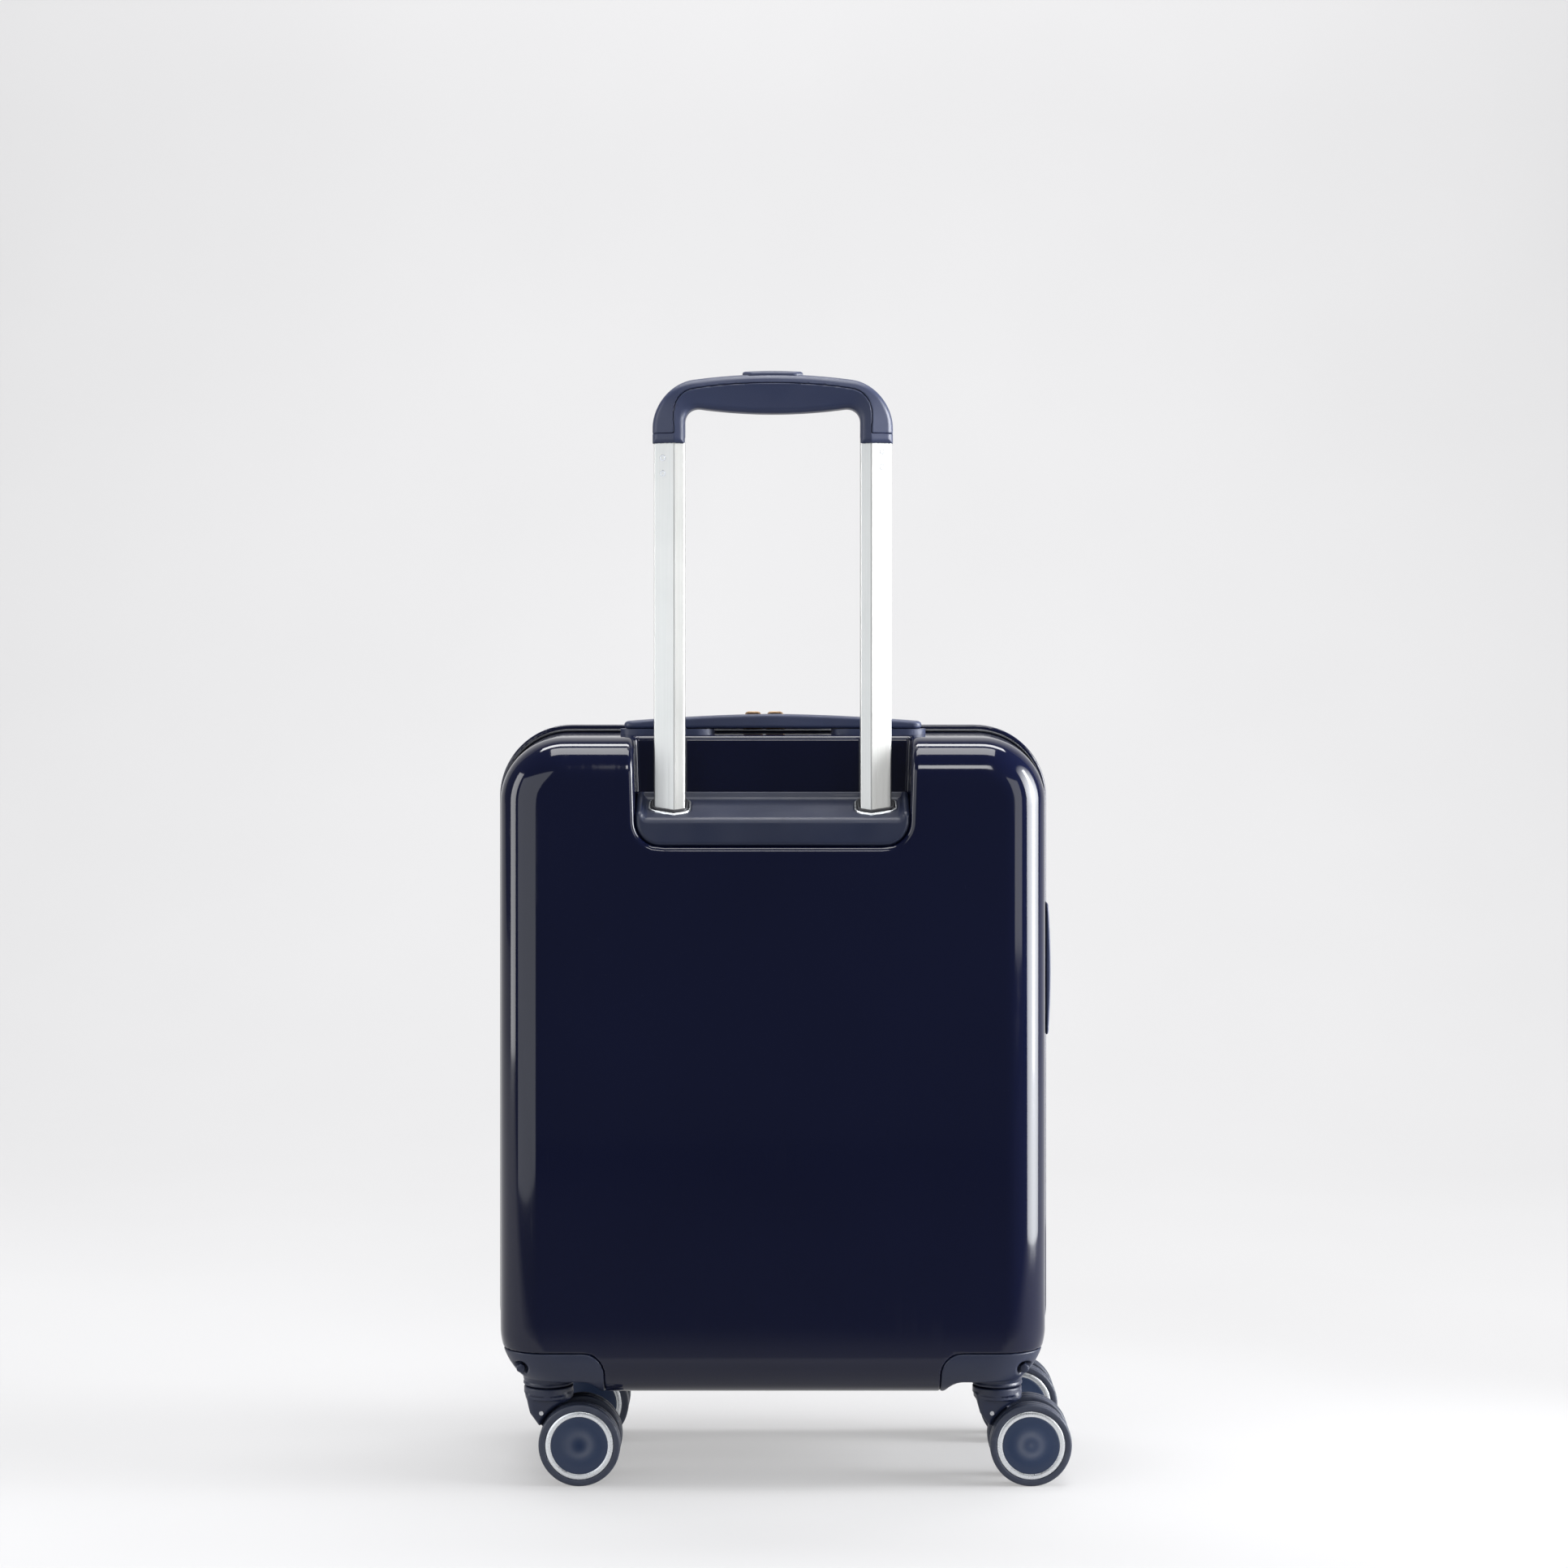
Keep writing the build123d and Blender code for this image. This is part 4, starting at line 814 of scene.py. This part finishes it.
def carry_field(x, y, z):
    share = np.clip(np.abs(x) / CARRY_HALF_LENGTH, 0, 1)
    top = 545.6 - 5.2 * share**1.7
    under = 535.9 - 0.5 * share
    waist = 12.0 - 2.2 * (1 - share**2)
    slab = rounded_both(z - top, under - z, 1.6)
    side = rounded_both(np.abs(y - CARRY_Y) - waist, np.abs(x) - CARRY_HALF_LENGTH, 7.0)
    peg = rounded_both(np.hypot(np.abs(x) - 95, y - CARRY_Y) - 3.95, np.abs(z - 525) - 13, 1.0)
    return rounded_either(rounded_both(slab, side, 2.2), peg, 0.6)


xs = grid_lines(-108, 108, 3.0, (-108, -90, 1.0), (90, 108, 1.0))
grid = (xs, grid_lines(-48, -22, 1.0), grid_lines(511, 547, 0.8, (511, 533, 2.0)))
netted_piece(
    "carry_handle_skin", carry_field, grid, "carry_handle", "soft_touch", "soft_touch", "carry_handle"
)


def side_carry_field(x, y, z):
    along = z - SIDE_HANDLE_Z
    share = np.clip(np.abs(along) / SIDE_HANDLE_HALF, 0, 1)
    slab = rounded_both(x - 199.8 + 1.8 * share**2, 196.4 - x, 0.9)
    across = np.abs(y - CARRY_Y) - 11 + 1.6 * (1 - share**2)
    side = rounded_both(across, np.abs(along) - SIDE_HANDLE_HALF, 6.0)
    peg = rounded_both(np.hypot(np.abs(along) - 38, y - CARRY_Y) - 2.95, np.abs(x - 192) - 4.8, 0.8)
    return rounded_either(rounded_both(slab, side, 1.2), peg, 0.4)


grid = (grid_lines(186, 200.4, 0.5), grid_lines(-47, -23, 0.9), grid_lines(314, 411, 1.1))
netted_piece(
    "side_handle_skin", side_carry_field, grid, "side_handle", "soft_touch", "soft_touch", "side_handle"
)

# %% [markdown]
# ## Casters
# A fork hangs under each neck: a round collar, a body cut away round the wheels, and a thin plate between
# them that carries the axle. Each wheel is turned about its axle, so one profile swept round a circle
# makes the whole tyre, hub and trim ring.

# %% Fork
WHEEL_RADIUS, TRAIL, WHEEL_INNER, WHEEL_OUTER = 29.0, 23.0, 7.0, 20.0


def fork_field(u, v, z):
    """Distance to a fork. u runs from the swivel axis towards the axle, v along the axle."""
    from_pin = np.hypot(u, v)
    collar = rounded_both(from_pin - 17.5, np.abs(z - 65.2) - 2.8, 1.1)
    collar = np.minimum(collar, rounded_both(from_pin - 16.7, np.abs(z - 62) - 2.5, 0.8))
    behind = np.maximum(facet(u, z, (-17.2, 66), (-12.6, 50)), facet(u, z, (-12.6, 50), (-4.6, 39)))
    clear = 30.6 - np.hypot(u - TRAIL, z - WHEEL_RADIUS)
    body = rounded_both(rounded_both(behind, clear, 1.0), u - 17.9, 1.0)
    body = rounded_both(rounded_both(body, z - 64, 0.5), np.abs(v) - 13, 3.0)
    body = rounded_both(body, from_pin - 18.2, 2.0)
    span = np.clip(((u + 3) * 26 - (z - 50) * 21) / (26**2 + 21**2), 0, 1)
    web = np.hypot(u + 3 - 26 * span, z - 50 + 21 * span) - 9.5
    web = rounded_both(rounded_both(web, behind, 2.0), np.abs(v) - 5.9, 1.2)
    return rounded_either(rounded_either(collar, body, 1.2), web, 1.5)


# %% Turned parts
def turned(profile, centre, turns=72):
    """Points and quads of a closed profile (radius, place along the axle) swept round the axle."""
    angle = np.linspace(0, 2 * np.pi, turns, endpoint=False)[:, None]
    radius, along = np.asarray(profile, float).T
    x, z = centre[0] + radius * np.cos(angle), centre[2] + radius * np.sin(angle)
    y = np.broadcast_to(centre[1] + along, x.shape)
    return np.stack([x, y, z], -1).reshape(-1, 3), grid_faces(turns, len(radius), True, True)


def round_corners(corners, radii, steps=5):
    """A closed outline with each corner replaced by a curve that is tangent to both of its edges."""
    corners = np.asarray(corners, float)
    before, after = np.roll(corners, 1, axis=0) - corners, np.roll(corners, -1, axis=0) - corners
    lengths = np.minimum(np.hypot(*before.T), np.hypot(*after.T))
    reach = np.minimum(np.broadcast_to(radii, lengths.shape), 0.48 * lengths)[:, None]
    start = corners + before / np.hypot(*before.T)[:, None] * reach
    stop = corners + after / np.hypot(*after.T)[:, None] * reach
    t = np.linspace(0, 1, steps)[None, :, None]
    curve = (1 - t) ** 2 * start[:, None] + 2 * t * (1 - t) * corners[:, None] + t**2 * stop[:, None]
    return curve.reshape(-1, 2)


TYRE = round_corners(
    [(24.3, -6.2), (25.4, -6.5), (29, -6.3), (29, -0.9), (28.3, -0.4), (28.3, 0.4), (29, 0.9), (29, 6.3),
     (25.4, 6.5), (24.3, 6.2)],
    [0.3, 0.8, 3.2, 0.5, 0.3, 0.3, 0.5, 3.2, 0.8, 0.3],
)
HUB = round_corners(
    [(3.0, -6.2), (9, -6.2), (9, -2), (19, -1), (21.5, -5.8), (24.3, -5.8), (24.3, 5.6), (24.1, 6.0),
     (24.1, 4.9), (20.2, 4.9), (20.2, 6.3), (19.6, 6.55), (0.05, 6.9), (0.05, 3.9), (3.0, 3.9)],
    [0.2, 0.5, 2, 3, 1, 0.3, 0.1, 0.1, 0.2, 0.2, 0.3, 0.4, 0.0, 0.0, 0.2],
)
RING = round_corners(
    [(20.25, 4.9), (24.05, 4.9), (24.05, 6.1), (22.2, 6.55), (20.25, 6.2)], [0.1, 0.1, 0.4, 1.5, 0.3]
)


def wheel_pair(profile, axle):
    """The same turned part in both wheels of a caster, mirrored, with outward faces in both."""
    middle = (WHEEL_INNER + WHEEL_OUTER) / 2
    parts, faces, count = [], [], 0
    for hand in (-1, 1):
        centre = (axle[0], axle[1] + hand * middle, axle[2])
        points, quads = turned(profile * (1, hand), centre)
        parts.append(points)
        faces.append((quads[:, ::-1] if hand > 0 else quads) + count)
        count += len(points)
    return np.concatenate(parts), np.concatenate(faces)


# %% All four casters
us = grid_lines(-19, 34, 1.1, (-19, -15, 0.8), (14, 19, 0.8))
vs = grid_lines(-18.5, 18.5, 1.1, (-7, -4.5, 0.7), (4.5, 7, 0.7))
zs = grid_lines(18, 69, 1.1, (61, 69, 0.8))
fork_points, fork_quads, fork_normals = net_surface(fork_field, us, vs, zs)
for half, end in (("back", -1), ("front", 1)):
    for word, side in (("left", -1), ("right", 1)):
        corner = f"{half}_{word}"
        pin = np.array([side * SWIVEL_X, end * SWIVEL_Y, 0])
        axle = pin + (TRAIL, 0, WHEEL_RADIUS)
        place_piece(
            f"fork_{corner}_skin", fork_points + pin, fork_quads, f"fork_{corner}", "housing", "soft_touch",
            (f"fork_{corner}",), fork_normals,
        )
        for name, profile, finish, node in (
            ("tread", TYRE, "tyre", "tyres"), ("hub", HUB, "wheel_cap", "hubs"),
            ("trim_ring", RING, "silver_trim", "wheel_rings"),
        ):
            points, quads = wheel_pair(profile, axle)
            replaced = (f"{node}_{corner}",)
            place_piece(f"{name}_{corner}", points, quads, f"wheels_{corner}", finish, finish, replaced)

# %% [markdown]
# ## Zip
# The zip runs right round the case between the back wall and the rim bead. Each tape is a flat woven band
# that is bonded to its shell. Along the tapes' meeting edges stand the moulded teeth, in two rows that
# interlock.

# %% Zip path
ZIP_Y, TAPE_THICK, TAPE_WIDTH = -9.0, 1.4, 10.8


def rim_path(grow, step):
    """Points and outward directions round the case's rounded outline, evenly spaced, grown by a margin."""
    flat_x, flat_z = SHELL_HALF_WIDTH - SHELL_CORNER, SHELL_HALF_HEIGHT - SHELL_CORNER
    angle = np.linspace(0, 2 * np.pi, 4001)
    turn = np.stack([np.cos(angle), np.sin(angle)], 1)
    hub = np.stack([np.sign(turn[:, 0]) * flat_x, np.sign(turn[:, 1]) * flat_z], 1)
    line = hub + turn * (SHELL_CORNER + grow)
    line = np.concatenate([line, line[:1]])
    length = np.concatenate([[0], np.cumsum(np.hypot(*np.diff(line, axis=0).T))])
    count = int(round(length[-1] / step))
    at = np.linspace(0, length[-1], count, endpoint=False)
    path = np.stack([np.interp(at, length, line[:, a]) for a in (0, 1)], 1)
    ahead = np.roll(path, -1, axis=0) - np.roll(path, 1, axis=0)
    ahead /= np.hypot(*ahead.T)[:, None]
    return path, np.stack([ahead[:, 1], -ahead[:, 0]], 1), length[-1]


def tape_band(start, stop):
    """A closed woven band round the case from one depth to another, faintly quilted by its stitches."""
    path, out, length = rim_path(0, 3.0)
    section = round_corners(
        [(start, 0.25), (stop, 0.25), (stop, TAPE_THICK - 0.1), (start, TAPE_THICK - 0.1)], 0.3, 3
    )
    around = np.arange(len(path))[:, None]
    lift = section[None, :, 1] + 0.06 * np.sin(around * 2.1) * (section[None, :, 1] > 0.8)
    place = path[:, None, :] + out[:, None, :] * lift[..., None]
    depth = np.broadcast_to(section[None, :, 0], lift.shape)
    points = np.stack([place[..., 0], depth, place[..., 1] + CASE_Z], -1).reshape(-1, 3)
    return points, grid_faces(len(path), len(section), True, True), length


def tooth_row(hand, lead):
    """One row of zip teeth: small rounded blocks that reach across the meeting line, one for each pitch."""
    path, out, _ = rim_path(TAPE_THICK - 0.15, 2.4)
    ahead = np.stack([-out[:, 1], out[:, 0]], 1)
    path = path + ahead * lead
    ring = np.linspace(0, 2 * np.pi, 8, endpoint=False)
    reach = np.array([0.3, 0.9, 1.0, 1.0, 0.8, 0.0001])
    across = np.array([-2.1, -1.9, -0.6, 0.5, 1.0, 1.1]) * -hand
    wide = 0.75 * reach[:, None] * np.cos(ring)[None, :]
    tall = 0.36 * reach[:, None] * np.sin(ring)[None, :] + 0.1
    place = path[:, None, None, :] + ahead[:, None, None, :] * wide[..., None]
    place = place + out[:, None, None, :] * tall[..., None]
    depth = np.broadcast_to((ZIP_Y + across)[None, :, None], place.shape[:3])
    points = np.stack([place[..., 0], depth, place[..., 1] + CASE_Z], -1)
    quads = grid_faces(len(across), len(ring), False, True)
    caps = np.array([[0, 1, 2, 3], [0, 3, 4, 7], [4, 5, 6, 7]])
    one = np.concatenate([quads, caps[:, ::-1]])
    one = one if hand > 0 else one[:, ::-1]
    step = len(across) * len(ring)
    faces = (one[None] + (np.arange(len(path)) * step)[:, None, None]).reshape(-1, 4)
    return points.reshape(-1, 3), faces


# %% Zip pieces
for half, start, hand in (("back", -20.0, -1), ("front", -8.8, 1)):
    points, faces = tooth_row(hand, 1.2 if hand > 0 else 0.0)
    teeth = place_piece(f"zip_teeth_{half}", points, faces, f"{half}_half", "dark_plastic", "zip_tape")
    points, faces, length = tape_band(start, start + TAPE_WIDTH)
    tape = place_piece(
        f"zip_tape_{half}", points, faces, f"{half}_half", "zip_tape", "zip_tape", (f"{half}_zip_tape",)
    )
    print(half, "tape is", round(length), "mm long")

# %% [markdown]
# ## Zip sliders
# Each slider is a flat body that squeezes the teeth together, with a crown on top. A long pull hangs on
# the crown and lies flat along the zip when it is let go.

# %% Zip sliders and pulls
PULL_PIVOT_Z = 542.4
SLIDER_NOSES = (("left", -1, -7.4), ("right", 1, -5.6))


def slider_field(u, v, z):
    waist = 5.5 - 0.7 * np.cos(np.clip(u / 7.2, -1, 1) * np.pi / 2)
    body = rounded_both(rounded_box(u, v + 0.5, 7.1, waist, 2.4), np.abs(z - 536.6) - 2.2, 1.1)
    crown = rounded_both(rounded_box(u, z - 540.9, 6.1, 6.0, 3.0), np.abs(v) - 1.55, 0.8)
    hole = rounded_box(u, z - PULL_PIVOT_Z, 4.4, 2.3, 2.2)
    crown = rounded_both(crown, -np.maximum(hole, 539.4 - z), 0.7)
    return rounded_either(body, crown, 0.9)


def pull_field(u, v, z):
    """u runs away from the crown along the pull."""
    wide = 3.5 + 0.95 * np.clip((u - 8) / 22, 0, 1) ** 1.5
    plate = rounded_both(rounded_box(u - 17, v, 18.5, wide, 2.3), np.abs(z - PULL_PIVOT_Z) - 0.88, 0.5)
    eye = rounded_box(u - 4.4, v, 4.3, 2.15, 1.0)
    plate = rounded_both(plate, -eye, 0.5)
    dish = rounded_both(rounded_box(u - 24, v, 8.2, 2.2, 2.0), PULL_PIVOT_Z + 0.55 - z, 0.3)
    return rounded_both(plate, -dish, 0.4)


slider_grid = (grid_lines(-7.6, 7.6, 0.55), grid_lines(-6.6, 6.0, 0.55), grid_lines(534, 547.4, 0.5))
slider_points, slider_quads, slider_normals = net_surface(slider_field, *slider_grid)
pull_grid = (grid_lines(-2.2, 36, 0.6), grid_lines(-4.9, 4.9, 0.45), grid_lines(541.2, 543.6, 0.35))
pull_points, pull_quads, pull_normals = net_surface(pull_field, *pull_grid)
for word, side, nose in SLIDER_NOSES:
    middle = nose + side * 7.2
    place_piece(
        f"slider_{word}", slider_points + (middle, ZIP_Y, 0), slider_quads, f"zip_slider_{word}", "bronze",
        "bronze", (f"zip_slider_{word}",), slider_normals,
    )
    flip = np.array([side, side, 1])
    place_piece(
        f"pull_{word}", pull_points * flip + (middle, ZIP_Y, 0), pull_quads, f"zip_pull_{word}", "bronze",
        "bronze", (f"zip_pull_{word}",), pull_normals * flip,
    )

# %% [markdown]
# ## Lining
# Each half is lined with woven cloth, sewn to the shape of its pan and fixed at the rim. It lies a little
# slack, so it puckers near the corners, and it bulges over the sockets of the handles and the wheel
# corners behind it.

# %% Lining fields
LINING_GAP, LINING_THICK = 3.4, 0.7


def slack(x, y, z):
    """Height of the cloth's soft folds: long waves along each wall that grow towards the corners."""
    corner = np.hypot(np.clip(np.abs(x) - 120, 0, 70) / 70, np.clip(np.abs(z - CASE_Z) - 150, 0, 70) / 70)
    waves = np.sin(x / 13 + 1.7 * np.sin(z / 41)) + np.sin(z / 17 + 1.3 * np.sin(x / 37) + y / 9)
    return (0.25 + 0.45 * np.clip(corner, 0, 1)) * waves


def sockets(x, y, z):
    """Distance to the handle sockets behind the back lining, with room round them."""
    top = np.maximum(np.hypot(np.abs(x) - 95, y + 35) - 10.5, 493 - z)
    side = np.maximum(np.hypot(np.abs(z - SIDE_HANDLE_Z) - 38, y + 35) - 8.5, 181 - x)
    return np.minimum(top, side)


def back_pan(x, y, z):
    body = half_field(x, y, z, BACK_EDGE, BACK_FACE) + LINING_GAP + WALL
    body = rounded_both(body, -58.4 - y, 12)
    body = rounded_both(body, 7 - corner_field(x, y, z, -1), 9)
    body = rounded_both(body, 5 - pocket_field(x, y, z), 6)
    return rounded_both(body, -sockets(x, y, z), 5) - slack(x, y, z)


def front_pan(x, y, z):
    body = half_field(x, y, z, FRONT_EDGE, FRONT_FACE) + LINING_GAP + WALL
    return rounded_both(body, 7 - corner_field(x, y, z, 1), 9) - slack(x, y, z)


def lining(name, field, body, xs, ys, zs, replaced):
    """A lining sheet on the field's surface, cut off at the rim. Its flat area isn't known from a real cut: it
    is measured on the surface itself."""
    points, quads, normals = net_surface(field, xs, ys, zs)
    a, b, c, d = (points[quads[:, i]] for i in range(4))
    area = 0.5 * np.linalg.norm(np.cross(c - a, d - b), axis=1).sum() * MM**2
    piece = walled_piece(name, (points, quads, normals), LINING_THICK, body, "lining", replaced)


xs = grid_lines(-192, 192, 4.0)
zs = grid_lines(66, 530, 4.0)
ys = np.append(grid_lines(-60, -16, 3.0), -15.98)
lining("lining_back", back_pan, "back_half", xs, ys, zs, "back_lining")
ys = np.concatenate([[-6.02], grid_lines(-6, 96, 4.0)])
lining("lining_front", front_pan, "front_half", xs, ys, zs, "front_lining")

# %% [markdown]
# ## Fabric hinge
# A doubled strip of the lining cloth is sewn inside the left edge of both halves. It bends where the
# It has a shallow crease where the halves part.

# %% Fabric hinge
HINGE_X, HINGE_LOW, HINGE_HIGH = -191.2, 128.5, 468.5
HINGE_BACK, HINGE_FRONT, HINGE_THICK = -22, 4, 0.9
run = np.linspace(HINGE_BACK, HINGE_FRONT, 27)
rise = np.linspace(HINGE_LOW, HINGE_HIGH, 86)
fold = -0.8 * np.exp(-(((run + 9) / 3) ** 2))
stitch = 0.12 * np.sin(rise * 2 * np.pi / 4)[:, None] * (np.abs(np.abs(run + 9) - 11) < 1.5)[None, :]
sheet_x = HINGE_X + fold[None, :] + stitch
points = np.stack(np.broadcast_arrays(sheet_x, run[None, :], rise[:, None]), -1).reshape(-1, 3)
quads = grid_faces(len(rise), len(run))[:, ::-1]
normals = np.broadcast_to(np.array([1.0, 0, 0]), points.shape)
points, faces = add_wall(points, quads, normals, HINGE_THICK)
hinge = new_mesh("hinge_strip", points * MM + (CASE_X, 0, 0), faces)
hinge.data.materials.append(FINISHES["lining"])
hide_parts("fabric_hinge")
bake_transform(hinge)
print("hinge strip has", len(hinge.data.polygons), "faces")

# %% [markdown]
# ## Small fasteners
# Two screws hold the grip on each tube. Their domed heads sit in the sloped facet of the tube, with a
# round recess for the driver.

# %% Grip screws
SCREW_HEAD = round_corners(
    [(0.01, -0.35), (1.0, -0.35), (1.15, 0.12), (2.1, 0.12), (2.42, -0.1), (2.42, -0.8), (0.01, -0.8)],
    [0, 0.2, 0.15, 0.3, 0.15, 0.1, 0], 4,
)
FACET = np.radians(21)
head_points, head_quads = turned(SCREW_HEAD * (1, -1), (0, 0, 0), 28)
all_points, all_faces = [], []
for side, heights in ((-1, (717.0, 728.0)), (1, (721.6, 732.6))):
    for height in heights:
        u, v, w = head_points.T
        turned_u = u * np.cos(FACET) - v * np.sin(FACET)
        turned_v = u * np.sin(FACET) + v * np.cos(FACET)
        place = np.stack([side * (turned_u + TUBE_X + 4.6), turned_v + TUBE_Y - 5.96, w + height], 1)
        faces = head_quads if side > 0 else head_quads[:, ::-1]
        all_faces.append(faces + len(head_points) * len(all_points))
        all_points.append(place)
points, faces = np.concatenate(all_points), np.concatenate(all_faces)[:, ::-1]
place_piece("grip_screw_heads", points, faces, "pull_handle", "steel", "steel", ("grip_screws",))

# %% [markdown]
# ## Turned and drawn metal
# The parts that keep their CAD shape are shaded smooth, with their corners kept crisp.

# %% Shading of the CAD parts
for node in frame["nodes"].values():
    node.data.polygons.foreach_set("use_smooth", np.ones(len(node.data.polygons), bool))
    crisp = node.modifiers.new("crisp_corners", "EDGE_SPLIT")
    crisp.split_angle = np.radians(32)

# %% [markdown]
# ## Finish
# Each CAD part gets the finish named by its material slot in model.json.

# %% Finish
for part in frame["record"]["subparts"]:
    node = frame["nodes"][part["node"]]
    node.data.materials.clear()
    node.data.materials.append(FINISHES[part["material_slot"]])
